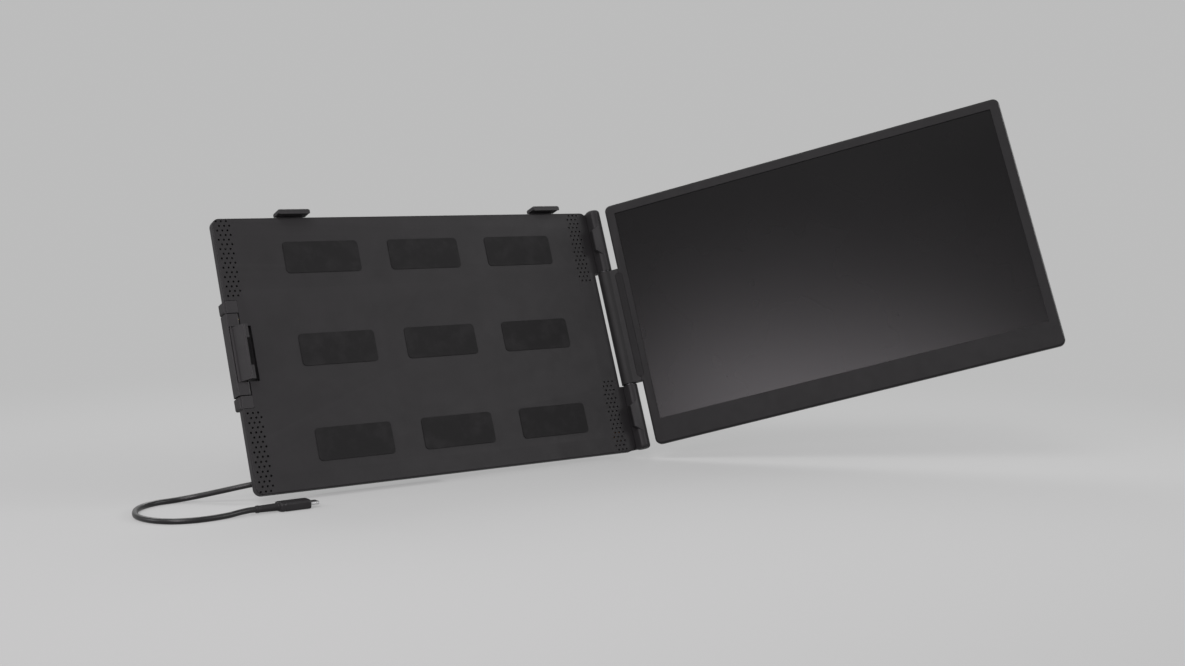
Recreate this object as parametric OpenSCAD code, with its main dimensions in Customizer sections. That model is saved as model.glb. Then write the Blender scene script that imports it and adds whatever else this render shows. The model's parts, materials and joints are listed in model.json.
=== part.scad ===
// Second screen that grips a laptop's lid: a thin back housing with two top hooks, a
// sprung left clamp and a hinge post, and a screen that swings on that post.
//
// Every piece is drawn upright against the lid plane: X to the right, Y away from the
// user, Z up the lid. leaned() then tips the whole object back as the open lid leans.
// The origin is the middle of the lid's rear face, where the centre pad rests.

/* [Laptop lid] */
// Width of the laptop lid that the hooks hold
lid_w = 312.6; // [300:0.1:330]
// Thickness of the laptop lid
lid_t = 4.5; // [3.5:0.1:6]
// Height of the lid's top edge above the origin
lid_top = 102.3; // [101.5:0.1:110]
// Lean of the open lid from the vertical, in degrees
lid_lean = 20.3; // [0:0.1:35]

/* [Back housing] */
// Height of the housing
slab_h = 202; // [196:1:204]
// Thickness of the housing, without its rear humps
slab_t = 8.5; // [8.3:0.1:10]
// How far the housing reaches past the lid's left edge
slab_over_left = 8.9; // [8:0.1:12]
// How far the housing reaches past the lid's right edge
slab_over_right = 0.7; // [0.5:0.1:0.8]
// Corner radius of the housing
slab_corner_r = 5.5; // [3:0.5:8]
// Rounding of the housing's rear edges
slab_edge_r = 2.5; // [1:0.1:3]
// Wall thickness of the rear tray
tray_wall = 1.6; // [1.2:0.1:1.8]
// Thickness of the perforated front panel
panel_t = 1.2; // [0.8:0.1:1.4]
// How far the rubber lid pads stand proud of the panel
pad_t = 0.5; // [0.3:0.1:1]
// Height of one lid pad
pad_h = 24; // [12:1:30]
// Width of one lid pad
pad_w = 60; // [30:1:80]
// Spacing of the lid pads across the lid
pad_pitch_x = 85; // [82:1:90]
// Spacing of the lid pads up the lid
pad_pitch_z = 70; // [60:1:80]
// Thickness of the steel stiffener sheet
stiffener_t = 0.8; // [0.5:0.1:0.9]
// Spacing of the round holes in the stiffener sheet
stiffener_hole_pitch = 60; // [45:1:62]
// Radius of the round holes in the stiffener sheet
stiffener_hole_r = 9; // [4:0.5:12]

/* [Perforation] */
// Diameter of one hole
vent_d = 1.5; // [0.8:0.1:1.7]
// Spacing of the hole columns
vent_pitch_x = 1.9; // [1.8:0.1:2.4]
// Spacing of the holes along a column
vent_pitch_z = 7; // [4:0.1:10]
// Columns in each band
vent_columns = 6; // [2:1:7]

/* [Left clamp] */
// Height of the sliding sleeve
sleeve_h = 59.6; // [56:0.1:62]
// How far the sleeve stands out of the housing's left edge
sleeve_proud = 1.6; // [1:0.1:2]
// Width of the sleeve along the slide
sleeve_w = 9.9; // [9:0.1:10.5]
// How far the clamp housing stands off the tray's rear face
clamp_hump = 2.5; // [2:0.1:4]
// Height of each end boss beside the sleeve
boss_h = 9; // [6:0.1:12]
// Diameter of the two guide rods
rod_d = 3; // [2:0.1:3.2]
// Height of each rod above or below the middle
rod_z = 26; // [25.5:0.1:27]
// Length of a guide rod
rod_len = 74; // [71:1:100]
// Outer diameter of a rod bush
rod_bush_d = 5; // [4:0.1:5.2]
// Length of a rod bush
rod_bush_len = 8; // [5:0.5:10]
// Wire of a clamp spring
spring_wire = 0.5; // [0.3:0.1:0.6]
// Turns of a clamp spring
spring_turns = 14; // [8:1:20]

/* [Clamp jaw] */
// Height of the jaw flap
jaw_h = 40; // [30:1:41]
// Thickness of the jaw flap
jaw_t = 2.2; // [1.6:0.1:2.4]
// Angle of the flap out of the housing's face
jaw_angle = 55; // [52:1:60]
// Height of each claw
claw_h = 10; // [6:1:14]
// How far a claw covers the lid's front
claw_cover = 2; // [1:0.1:3]
// Diameter of the jaw pin
jaw_pin_d = 1.5; // [1:0.1:1.8]

/* [Top hooks] */
// Width of a hook
hook_w = 24.7; // [16:0.1:30]
// Distance of the left hook's middle from the lid's left edge
hook_left_in = 52.6; // [36:0.1:76]
// Distance of the right hook's middle from the lid's right edge
hook_right_in = 40.8; // [36:0.1:96]
// Thickness of the hook's arm
hook_arm_t = 3.2; // [2:0.1:4]
// Thickness of the hook's lip and leg
hook_leg_t = 2.4; // [1.6:0.1:2.6]
// Length of the leg inside the housing
hook_leg_len = 40; // [30:1:50]
// Travel of a hook
hook_travel = 15; // [5:1:20]

/* [Hinge post] */
// Radius of the post and the knuckle
post_r = 6; // [5.5:0.1:6.5]
// Distance from the post's axis to its flat beside the lid
post_flat = 4.7; // [4.2:0.1:5.2]
// Distance of the hinge axis in front of the lid's rear face
post_front = 2.5; // [2:0.1:3]
// Height of the turning knuckle
knuckle_h = 94.8; // [80:0.1:98]
// Height of a post hook
grip_h = 26.7; // [20:0.1:32]
// Height of a post hook's flat tip
grip_tip_h = 17; // [10:0.1:19]
// Distance of a post hook from the middle
grip_z = 74.3; // [70:0.1:78]
// Thickness of a post hook
grip_t = 2.9; // [2:0.1:3.2]
// Diameter of the hinge shafts
shaft_d = 5; // [4:0.1:6]
// Length of a hinge shaft
shaft_len = 56; // [50:1:58]
// Outer diameter of a hinge bush
hinge_bush_d = 8; // [7:0.1:9]
// Length of a hinge bush
hinge_bush_len = 12; // [6:1:16]
// Thickness of a friction washer
washer_t = 0.6; // [0.4:0.05:0.65]

/* [Screen] */
// Width of the visible picture
picture_w = 309.4; // [290:0.1:345]
// Height of the visible picture
picture_h = 174; // [165:0.1:174]
// Frame beside the picture, hinge side
bezel_left = 7.6; // [6:0.1:10]
// Frame beside the picture, free side
bezel_right = 7.8; // [6:0.1:10]
// Frame below the picture
bezel_bottom = 20.3; // [18:0.1:24]
// Height of the whole screen
screen_h = 202; // [200:1:202]
// Thickness of the screen
screen_t = 7.5; // [7.3:0.1:9]
// How far the screen's front face is ahead of the hinge axis
screen_ahead = 4; // [3.8:0.1:4]
// Distance from the hinge axis to the screen's edge
screen_gap = 11.5; // [11.3:0.1:14]
// Corner radius of the screen
screen_corner_r = 5; // [3:0.5:8]
// Height of the frame's side wall
bezel_side = 3; // [2:0.1:3.2]
// Depth of the hinge flange inside the screen
flange_depth = 24; // [22:1:40]
// Length of the display board
display_board_len = 150; // [120:1:180]
// Distance of the display board from the screen's hinge side
display_board_in = 90; // [60:1:100]
// Swing of the screen out of the lid's plane, in degrees
screen_swing = 46.94; // [0:0.01:120]
// Length of the trim strip over the hinge tab
inlay_len = 88; // [60:1:92]
// Width of the trim strip
inlay_w = 5.8; // [4:0.1:6]
// Diameter of a button
button_d = 4.4; // [3:0.1:6]
// How far a button stands proud
button_proud = 0.6; // [0.4:0.1:1]
// Spacing of the buttons
button_pitch = 11; // [8:0.5:14]

/* [Socket hump] */
// Length of the hump that holds the socket
hub_len = 100; // [60:1:120]
// Height of the hump
hub_h = 19.7; // [17:0.1:24]
// How far the hump stands off the tray
hub_d = 9.5; // [9.3:0.1:12]
// Distance of the hump's open end left of the middle
hub_left = 115; // [100:1:130]
// Wall thickness of the hump
hub_wall = 1.3; // [1:0.1:1.6]
// Height of the socket above the housing's bottom edge
socket_up = 11; // [10.5:0.1:12]
// Distance of the socket behind the tray's rear face
socket_back = 5; // [4.5:0.1:5.3]
// Thickness of a circuit board
board_t = 1; // [0.6:0.1:1.2]

/* [Cable] */
// Diameter of the cable
cable_d = 4; // [3:0.1:5]
// Length of a plug's moulded body
plug_len = 22; // [16:1:30]
// Width of a plug's moulded body
plug_w = 12; // [10:0.5:14]
// Thickness of a plug's moulded body
plug_t = 6.6; // [5:0.1:7]
// Length of the bend relief behind a plug
relief_len = 16; // [10:1:24]
// How far the metal tongue stands out of a plug
shell_len = 6.5; // [6:0.1:7]

/* [Hidden] */

$fn = 48;
small = 0.01;          // thickness of a layer that only shapes a hull
cut = 1;               // how far a cutting solid runs past a face
gap = 0.3;             // clearance between pieces that pass each other
seat_gap = 0.05;       // clearance round a piece that is set into another
run_gap = 0.05;        // radial clearance of a running fit
press_gap = 0.02;      // radial clearance of a seated shaft

// Housing faces, along Y
slab_front = pad_t;
slab_rear = slab_front + slab_t;
cavity_front = slab_front + panel_t;
cavity_rear = slab_rear - tray_wall;
stiffener_front = cavity_rear - stiffener_t;
cavity_mid = (cavity_front + cavity_rear) / 2;
half_h = slab_h / 2;

// Housing edges, along X
slab_left_x = -(lid_w / 2 + slab_over_left);
slab_right_x = lid_w / 2 + slab_over_right;
side_wall = tray_wall + 0.2;
panel_edge_r = 0.8;                              // rounding of the front panel's edge
seam_groove = 0.5;                               // groove between the panel and the tray

// Hinge axis and post
edge_gap = 0.4;                                  // lid edge to the post's flat
post_x = lid_w / 2 + edge_gap + post_flat;
post_y = -post_front;
knuckle_gap = 0.8;                               // knuckle end to the fixed post
knuckle_clear = 1.9;                             // knuckle to the housing's edge
knuckle_half = knuckle_h / 2;
post_z0 = knuckle_half + knuckle_gap;
post_cut_x = post_x - post_r - knuckle_clear;    // housing's edge beside the knuckle
post_top_r = 2.5;
root_w = 7.8;                                    // part of the post inside the tray
root_z0 = post_z0 + 1.8;
root_z1 = half_h - side_wall - 0.2;
web_back = slab_rear - 1.2;
grip_left_x = lid_w / 2 - 2.4;
grip_pad_t = 0.8;
grip_pad_end = 0.5;                              // rubber over the end of a post hook
grip_front = post_y - post_r;
post_screw_z = [root_z0 + 9, root_z1 - 8];
post_screw_x = slab_right_x - 4;

// Left clamp
sleeve_left_x = slab_left_x - sleeve_proud;
sleeve_right_x = sleeve_left_x + sleeve_w;
sleeve_front = slab_front - 0.2;
sleeve_rear = slab_rear + clamp_hump - 0.5;
sleeve_round = 1.6;
clamp_wall_x = sleeve_right_x + gap;
bay_half = sleeve_h / 2 + 0.5 + boss_h;
hump_rear = slab_rear + clamp_hump;
hump_len = 100;
boss_left_x = sleeve_left_x - 0.2;
boss_round = 2;
rod_r = rod_d / 2;
rod_x0 = sleeve_left_x + 1.4;
rod_x1 = rod_x0 + rod_len;
collar_t = 2;
collar_r = 2.4;
rod_end_free = 1.4;                              // rod end beyond its collar
spring_x0 = clamp_wall_x + rod_bush_len;
spring_x1 = rod_x1 - rod_end_free - collar_t;
spring_r = rod_r + 0.3 + spring_wire / 2;
bush_block_h = rod_bush_d + 2;

// Clamp jaw
jaw_pin_x = sleeve_left_x + 3.4;
jaw_pin_y = slab_front + 2.5;
jaw_barrel_r = 1.9;
claw_t = 1.7;
claw_back_y = -(lid_t + 0.3);
claw_mid_y = claw_back_y - claw_t / 2;
jaw_reach = (jaw_pin_y - claw_mid_y) / sin(jaw_angle);
jaw_tip_x = jaw_pin_x + jaw_reach * cos(jaw_angle);
claw_tip_x = -(lid_w / 2 - claw_cover);
jaw_pad_t = 0.5;
jaw_slot_half = jaw_h / 2 + gap;
pocket_x1 = jaw_pin_x + norm([claw_tip_x - jaw_pin_x, jaw_pin_y - claw_mid_y + claw_t / 2]) + 0.9;
pocket_floor_t = 0.8;
pocket_floor_y = jaw_pin_y + 0.9;
jaw_pin_half = rod_z - rod_r - 0.5;

// Top hooks
hook_left_x = -lid_w / 2 + hook_left_in;
hook_right_x = lid_w / 2 - hook_right_in;
hook_front_y = -(lid_t + hook_leg_t / 2 + 0.3);
hook_lip_r = 1.4;
hook_pad_t = 0.5;
hook_under_z = lid_top + 0.1;
hook_top_z = hook_under_z + hook_arm_t;
hook_lip_z = lid_top - 0.8;
hook_leg_y = cavity_front + 1.3;
hook_leg_w = hook_w - 4.7;
hook_guide_t = 1.5;
drag_pad_h = 16;

// Perforated bands
vent_first_x = slab_left_x + 3;
vent_last_x = post_cut_x - 6;
vent_top_z = half_h - 2.1;
vent_rows = floor((vent_top_z - bay_half) / vent_pitch_z) + 1;

// Screen, drawn with X along the screen from the hinge axis and Y behind the axis
screen_w = bezel_left + picture_w + bezel_right;
screen_x1 = screen_gap + screen_w;
screen_front = -screen_ahead;
screen_rear = screen_front + screen_t;
screen_half = screen_h / 2;
picture_x0 = screen_gap + bezel_left;
picture_x1 = picture_x0 + picture_w;
picture_z0 = bezel_bottom - screen_half;
picture_z1 = picture_z0 + picture_h;
bezel_lip = 0.8;
bezel_edge_r = 1.8;                              // rounding of the frame's front edge
bezel_rim = 4;
bezel_back = screen_front + bezel_side;
cover_wall = 1.4;
cover_inner = screen_rear - cover_wall;
cover_edge = 3;
lcd_t = 1.2;
lcd_over = 2.2;
lcd_over_bottom = 3.5;
lcd_front = screen_front + bezel_lip + seat_gap;
lcd_rear = lcd_front + lcd_t;
backlight_t = 1.6;
backlight_rear = lcd_rear + seat_gap + backlight_t;
tab_rear = 3;
tab_gap = 0.1;
flange_half = 44;
flange_x1 = screen_gap + flange_depth;
flange_front = backlight_rear + 0.3;
inlay_depth = 1;
inlay_x0 = screen_gap - inlay_w / 2;
chip_w = 8;
chip_pitch = 28;
screen_screw_x = flange_x1 - 10;
screen_screw_z = [-36, -14, 14, 36];
screw_r = 0.9;
screw_head_r = 1.8;
screw_head_t = 0.8;
button_x = screen_x1 - 14;
button_z = -screen_half + 13;
button_rim = 0.8;
button_flange_t = 0.45;
button_travel = 0.5;
dome_t = 0.15;

// Socket hump
hub_x0 = -hub_left;
hub_x1 = hub_x0 + hub_len;
hub_z0 = -half_h + 1.8;
hub_z1 = hub_z0 + hub_h;
hub_rear = slab_rear + hub_d;
hub_corner_r = 3;
hub_edge_r = 2.5;
socket_z = socket_up - half_h;
socket_y = slab_rear + socket_back;
socket_w = 8.94;
socket_t = 3.16;
socket_wall = 0.25;
socket_len = 7.4;
socket_x0 = hub_x0 + 0.2;
hub_board_y = socket_y - socket_t / 2 - board_t;
ribbon_t = 0.4;
ribbon_w = 8;
ribbon_x0 = hub_x0 + hub_len / 2;

// Plugs and cable. The route is in the object's own frame, from the socket to the
// laptop's plug, and its points are chosen by hand.
plug_shell_w = 8.25;
plug_shell_t = 2.4;
plug_shell_wall = 0.3;
plug_round = 1.5;
plug_face_gap = 0.6;
relief_r = 2.9;
device_plug_x = hub_x0 - plug_face_gap;
table_z = -101.7;
laptop_plug_x = -141;
laptop_plug_y = -64;
laptop_plug_z = table_z + 3.3;
cable_route = [
    [-153.6, -18.1, -89.3], [-157, -18.1, -89.3], [-162.5, -17, -90], [-169.5, -14, -91.3],
    [-178, -8.5, -93.4],
    [-187.5, -1.5, -95.9], [-197.5, 5, -98.2], [-208.5, 8.5, -99.6], [-220, 7.5, -99.7],
    [-231, 2, -99.7], [-239.5, -7, -99.7], [-245, -18.5, -99.7], [-248, -31, -99.7],
    [-247, -43.5, -99.7], [-242.5, -54.5, -99.7], [-234.5, -63, -99.7],
    [-223.5, -67.5, -99.7], [-211, -68, -99.7], [-199, -66.5, -99.5], [-190, -64.8, -98.8],
    [-183, -64, -98.4], [-179, -64, -98.4]
];
cable_sides = 8;

// Shared shapes

// Tips the drawing back as the lid leans.
module leaned() {
    rotate([-lid_lean, 0, 0]) children();
}

// Puts a screen drawing on the hinge axis, swung out towards the user.
module swung() {
    leaned()
        translate([post_x, post_y, 0])
            rotate([0, 0, -screen_swing]) children();
}

// Rectangle from x0, y0 to x1, y1 with round corners.
module round_rect(x0, y0, x1, y1, r) {
    translate([x0 + r, y0]) square([x1 - x0 - 2 * r, y1 - y0]);
    translate([x0, y0 + r]) square([x1 - x0, y1 - y0 - 2 * r]);
    for (x = [x0 + r, x1 - r], y = [y0 + r, y1 - r])
        translate([x, y]) circle(r);
}

// Plate with round corners in the X-Z plane, from y0 to y1.
module plate(x0, z0, x1, z1, r, y0, y1) {
    translate([0, y1, 0])
        rotate([90, 0, 0])
            linear_extrude(y1 - y0) round_rect(x0, z0, x1, z1, r);
}

// Box given by its two corners.
module block(a, b) {
    translate(a) cube(b - a);
}

// Half section of a disc of radius r and thickness t, with its far edge rounded by edge.
module domed_section(r, t, edge) {
    square([r - edge, t]);
    square([r, t - edge]);
    intersection() {
        translate([r - edge, t - edge]) circle(edge);
        square([r, t]);
    }
}

// Section of a bar of width w and thickness t, with both far edges rounded by edge.
module domed_bar_section(w, t, edge) {
    translate([w / 2, 0]) domed_section(w / 2, t, edge);
    translate([w / 2, 0]) mirror([1, 0]) domed_section(w / 2, t, edge);
}

// Plate whose rear edges are rounded by edge, which is less than the corner radius r.
module dished_plate(x0, z0, x1, z1, r, y0, y1, edge) {
    t = y1 - y0;
    translate([x0 + r, y0, z0])
        rotate([90, 0, 90])
            linear_extrude(x1 - x0 - 2 * r)
                mirror([1, -1]) domed_bar_section(z1 - z0, t, edge);
    translate([x0, y0, z0 + r])
        linear_extrude(z1 - z0 - 2 * r) domed_bar_section(x1 - x0, t, edge);
    for (x = [x0 + r, x1 - r], z = [z0 + r, z1 - r])
        translate([x, y0, z])
            rotate([-90, 0, 0]) rotate_extrude() domed_section(r, t, edge);
}

// Cylinder along X from x0 to x1.
module rod_x(x0, x1, r, y, z) {
    translate([x0, y, z]) rotate([0, 90, 0]) cylinder(r = r, h = x1 - x0);
}

// Cylinder along Y from y0 to y1.
module rod_y(y0, y1, r, x, z) {
    translate([x, y1, z]) rotate([90, 0, 0]) cylinder(r = r, h = y1 - y0);
}

// Draws its children at the upper and the lower rod.
module both_rods() {
    for (side = [-1, 1]) translate([0, 0, side * rod_z]) children();
}

// Tube swept along points, with one ring at each point.
function ahead(p, i) = p[min(i + 1, len(p) - 1)] - p[max(i - 1, 0)];
function ring_at(c, d, r, n) =
    let (w = d / norm(d),
         u0 = abs(w[2]) < 0.9 ? cross([0, 0, 1], w) : cross([1, 0, 0], w),
         u = u0 / norm(u0),
         v = cross(w, u))
    [for (k = [0 : n - 1]) c + r * (cos(360 * k / n) * u + sin(360 * k / n) * v)];

module swept_tube(points, r, n) {
    rings = len(points);
    polyhedron(
        points = [for (i = [0 : rings - 1]) each ring_at(points[i], ahead(points, i), r, n)],
        faces = concat(
            [[for (k = [0 : n - 1]) k]],
            [for (i = [0 : rings - 2], k = [0 : n - 1])
                each [[i * n + k, (i + 1) * n + k, (i + 1) * n + (k + 1) % n],
                      [i * n + k, (i + 1) * n + (k + 1) % n, i * n + (k + 1) % n]]],
            [[for (k = [n - 1 : -1 : 0]) (rings - 1) * n + k]]));
}

// Back housing

module slab_outline_cuts(y0, y1) {
    // bay of the sleeve and its bosses
    block([slab_left_x - cut, y0, -bay_half - 0.2], [clamp_wall_x, y1, bay_half + 0.2]);
    // room for the knuckle
    block([post_cut_x, y0, -post_z0], [slab_right_x + cut, y1, post_z0]);
}

module hook_slot(x) {
    block([x - hook_leg_w / 2 - gap, hook_leg_y - gap, half_h - side_wall - cut],
          [x + hook_leg_w / 2 + gap, hook_leg_y + hook_leg_t + gap, half_h + cut]);
}

module slab_tray() {
    color([0.22, 0.22, 0.22]) leaned() difference() {
        union() {
            difference() {
                union() {
                    dished_plate(slab_left_x, -half_h, slab_right_x, half_h, slab_corner_r,
                                 cavity_front + seam_groove, slab_rear, slab_edge_r);
                    // narrower lip that leaves a groove along the seam
                    plate(slab_left_x + seam_groove, -half_h + seam_groove, slab_right_x,
                          half_h - seam_groove, slab_corner_r - seam_groove,
                          cavity_front, cavity_front + seam_groove + small);
                }
                // main cavity
                block([clamp_wall_x + side_wall, cavity_front - cut, -half_h + side_wall],
                      [post_cut_x - side_wall, cavity_rear, half_h - side_wall]);
                // cavity above and below the clamp bay
                for (side = [-1, 1])
                    block([slab_left_x + side_wall, cavity_front - cut,
                           side > 0 ? bay_half + 0.2 + side_wall : -half_h + side_wall],
                          [0, cavity_rear,
                           side > 0 ? half_h - side_wall : -bay_half - 0.2 - side_wall]);
                // openings for the roots of the post
                for (side = [-1, 1])
                    block([slab_right_x - root_w - seat_gap, cavity_front - cut,
                           side > 0 ? root_z0 - seat_gap : -root_z1 - seat_gap],
                          [slab_right_x + cut, cavity_rear,
                           side > 0 ? root_z1 + seat_gap : -root_z0 + seat_gap]);
                slab_outline_cuts(cavity_front - cut, slab_rear + cut);
            }
            // blocks that carry the rod bushes
            both_rods()
                block([clamp_wall_x, cavity_front, -bush_block_h / 2],
                      [clamp_wall_x + rod_bush_len, cavity_rear, bush_block_h / 2]);
            // standoffs of the socket board
            for (x = [hub_x0 + 12, hub_x1 - 12])
                rod_y(slab_rear - small, hub_board_y, 1.6, x, hub_z1 - 5);
        }
        both_rods()
            rod_x(clamp_wall_x - cut, clamp_wall_x + rod_bush_len + cut,
                  rod_bush_d / 2 + press_gap, cavity_mid, 0);
        // way for the folded jaw
        block([clamp_wall_x - cut, cavity_front - cut, -jaw_slot_half - pocket_floor_t - gap],
              [pocket_x1 + 2, pocket_floor_y + pocket_floor_t + seat_gap,
               jaw_slot_half + pocket_floor_t + gap]);
        hook_slot(hook_left_x);
        hook_slot(hook_right_x);
        for (side = [-1, 1], z = post_screw_z) {
            rod_y(cavity_rear - cut, slab_rear + cut, screw_r + 0.1, post_screw_x, side * z);
            rod_y(slab_rear - screw_head_t, slab_rear + cut, screw_head_r + 0.1,
                  post_screw_x, side * z);
        }
        // way for the ribbon into the hump
        block([ribbon_x0 - ribbon_w / 2 - gap, cavity_front + 2, socket_z - 2],
              [ribbon_x0 + ribbon_w / 2 + gap, slab_rear + cut, socket_z + 2]);
    }
}

// Column of holes; the second and later columns start lower by a share of the pitch.
module vent_band(x0, mirrored) {
    for (c = [0 : vent_columns - 1], k = [0 : vent_rows - 1]) {
        z = vent_top_z - (c % 2) * vent_pitch_z / 2 - k * vent_pitch_z;
        if (z > bay_half + vent_d)
            for (side = [-1, 1])
                translate([x0 + (mirrored ? -1 : 1) * c * vent_pitch_x, side * z])
                    circle(d = vent_d, $fn = 20);
    }
}

module slab_front_panel() {
    rib_z0 = half_h - side_wall - hook_leg_len + hook_travel + 8;
    color([0.24, 0.24, 0.24]) leaned() {
        difference() {
            translate([0, slab_front + cavity_front, 0])
                mirror([0, 1, 0])
                    dished_plate(slab_left_x, -half_h, slab_right_x, half_h, slab_corner_r,
                                 slab_front, cavity_front, panel_edge_r);
            translate([0, cavity_front + cut, 0])
                rotate([90, 0, 0])
                    linear_extrude(panel_t + 2 * cut) {
                        vent_band(vent_first_x, false);
                        vent_band(vent_last_x, true);
                    }
            slab_outline_cuts(slab_front - cut, cavity_front + cut);
            block([clamp_wall_x - cut, slab_front - cut, -jaw_slot_half],
                  [pocket_x1, cavity_front + cut, jaw_slot_half]);
        }
        // pocket that takes the folded jaw
        difference() {
            block([clamp_wall_x, cavity_front - small, -jaw_slot_half - pocket_floor_t],
                  [pocket_x1 + pocket_floor_t, pocket_floor_y + pocket_floor_t,
                   jaw_slot_half + pocket_floor_t]);
            block([clamp_wall_x - cut, slab_front - cut, -jaw_slot_half],
                  [pocket_x1, pocket_floor_y, jaw_slot_half]);
        }
        // guides for the hook legs
        for (x = [hook_left_x, hook_right_x], side = [-1, 1])
            translate([x + side * (hook_leg_w / 2 + gap + hook_guide_t / 2), 0, 0])
                block([-hook_guide_t / 2, cavity_front - small, rib_z0],
                      [hook_guide_t / 2, stiffener_front - seat_gap,
                       half_h - side_wall - seat_gap]);
    }
}

module stiffener_sheet() {
    color([0.6, 0.6, 0.62]) leaned() difference() {
        block([slab_left_x + side_wall + 4, stiffener_front, -half_h + side_wall + 2],
              [slab_right_x - root_w - 2, cavity_rear, half_h - side_wall - 2]);
        // clear of the rods, springs and jaw pocket
        block([slab_left_x, 0, -bay_half - 4], [rod_x1 + 4, slab_rear, bay_half + 4]);
        // clear of the knuckle bay's wall
        block([post_cut_x - side_wall - 1, 0, -post_z0 - 4], [slab_right_x, slab_rear, post_z0 + 4]);
        block([ribbon_x0 - ribbon_w / 2 - gap, 0, socket_z - 2],
              [ribbon_x0 + ribbon_w / 2 + gap, slab_rear, socket_z + 2]);
        for (i = [-1 : 1], k = [-1 : 1])
            rod_y(0, slab_rear, stiffener_hole_r, i * stiffener_hole_pitch,
                  k * stiffener_hole_pitch);
    }
}

module lid_pads() {
    color([0.1, 0.1, 0.1]) leaned()
        for (i = [-1 : 1], k = [-1 : 1])
            translate([i * pad_pitch_x, 0, k * pad_pitch_z])
                plate(-pad_w / 2, -pad_h / 2, pad_w / 2, pad_h / 2, 3, 0, slab_front);
}

// Left clamp, fixed part

// Block beside the sleeve: a rounded bump at the rear, flush with the panel in front.
module clamp_boss(side) {
    z0 = sleeve_h / 2 + 0.5;
    x1 = clamp_wall_x - seat_gap;
    translate([0, 0, side > 0 ? z0 : -z0 - boss_h]) {
        block([slab_left_x, slab_front + panel_edge_r, 0], [x1, slab_rear, boss_h]);
        block([slab_left_x + panel_edge_r, slab_front, 0], [x1, slab_rear, boss_h]);
        translate([slab_left_x + panel_edge_r, slab_front + panel_edge_r, 0])
            cylinder(r = panel_edge_r, h = boss_h);
        intersection() {
            linear_extrude(boss_h)
                round_rect(boss_left_x, cavity_front + seam_groove, x1, hump_rear, boss_round);
            plate(boss_left_x, 0, x1 + 2 * boss_round, boss_h, boss_round, slab_front, hump_rear);
        }
    }
}

module clamp_housing() {
    ramp = 6;
    color([0.2, 0.2, 0.2]) leaned() {
        for (side = [-1, 1]) clamp_boss(side);
        difference() {
            hull() {
                block([clamp_wall_x - 1.4, slab_rear, -bay_half],
                      [clamp_wall_x + hump_len, slab_rear + small, bay_half]);
                block([clamp_wall_x - 1.4, hump_rear - small, -bay_half + 1],
                      [clamp_wall_x + hump_len - ramp, hump_rear, bay_half - 1]);
            }
            block([clamp_wall_x - 2, slab_rear - cut, -sleeve_h / 2 - 0.5],
                  [clamp_wall_x + seat_gap, hump_rear + cut, sleeve_h / 2 + 0.5]);
        }
    }
}

module clamp_rod_bushes() {
    color([0.72, 0.6, 0.35]) leaned() both_rods() difference() {
        rod_x(clamp_wall_x, clamp_wall_x + rod_bush_len, rod_bush_d / 2, cavity_mid, 0);
        rod_x(clamp_wall_x - cut, clamp_wall_x + rod_bush_len + cut, rod_r + run_gap,
              cavity_mid, 0);
    }
}

// Helix along X round the rod's axis.
function spring_point(t) =
    let (ends = spring_wire / 2 + seat_gap,
         x0 = spring_x0 + ends,
         span = spring_x1 - spring_x0 - 2 * ends)
    [x0 + span * t,
     cavity_mid + spring_r * cos(360 * spring_turns * t),
     spring_r * sin(360 * spring_turns * t)];

module clamp_springs() {
    steps = spring_turns * 8;
    color([0.75, 0.75, 0.77]) leaned() both_rods()
        swept_tube([for (i = [0 : steps]) spring_point(i / steps)], spring_wire / 2, 6);
}

// Left clamp, sliding part

module clamp_sleeve() {
    color([0.2, 0.2, 0.2]) leaned() difference() {
        translate([0, 0, -sleeve_h / 2])
            linear_extrude(sleeve_h)
                round_rect(sleeve_left_x, sleeve_front, sleeve_right_x, sleeve_rear,
                           sleeve_round);
        // slot for the jaw
        block([jaw_pin_x - jaw_barrel_r - gap, sleeve_front - cut, -jaw_slot_half],
              [sleeve_right_x + cut, jaw_pin_y + jaw_barrel_r + gap, jaw_slot_half]);
        translate([jaw_pin_x, jaw_pin_y, -jaw_pin_half])
            cylinder(r = jaw_pin_d / 2 + press_gap, h = 2 * jaw_pin_half);
        both_rods()
            rod_x(rod_x0, sleeve_right_x + cut, rod_r + press_gap, cavity_mid, 0);
    }
}

module clamp_rods() {
    color([0.75, 0.75, 0.77]) leaned() both_rods()
        rod_x(rod_x0, rod_x1, rod_r, cavity_mid, 0);
}

module rod_collars() {
    color([0.3, 0.3, 0.32]) leaned() both_rods() difference() {
        rod_x(spring_x1, spring_x1 + collar_t, collar_r, cavity_mid, 0);
        rod_x(spring_x1 - cut, spring_x1 + collar_t + cut, rod_r + press_gap, cavity_mid, 0);
    }
}

module jaw_pin() {
    color([0.75, 0.75, 0.77]) leaned()
        translate([jaw_pin_x, jaw_pin_y, -jaw_pin_half])
            cylinder(r = jaw_pin_d / 2, h = 2 * jaw_pin_half);
}

// Flap of the jaw, seen along the pin.
module jaw_profile() {
    translate([jaw_pin_x, jaw_pin_y]) {
        circle(jaw_barrel_r);
        rotate(-jaw_angle)
            translate([0, -jaw_t / 2]) square([jaw_reach, jaw_t]);
    }
    translate([jaw_tip_x, claw_mid_y]) circle(jaw_t / 2);
}

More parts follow.
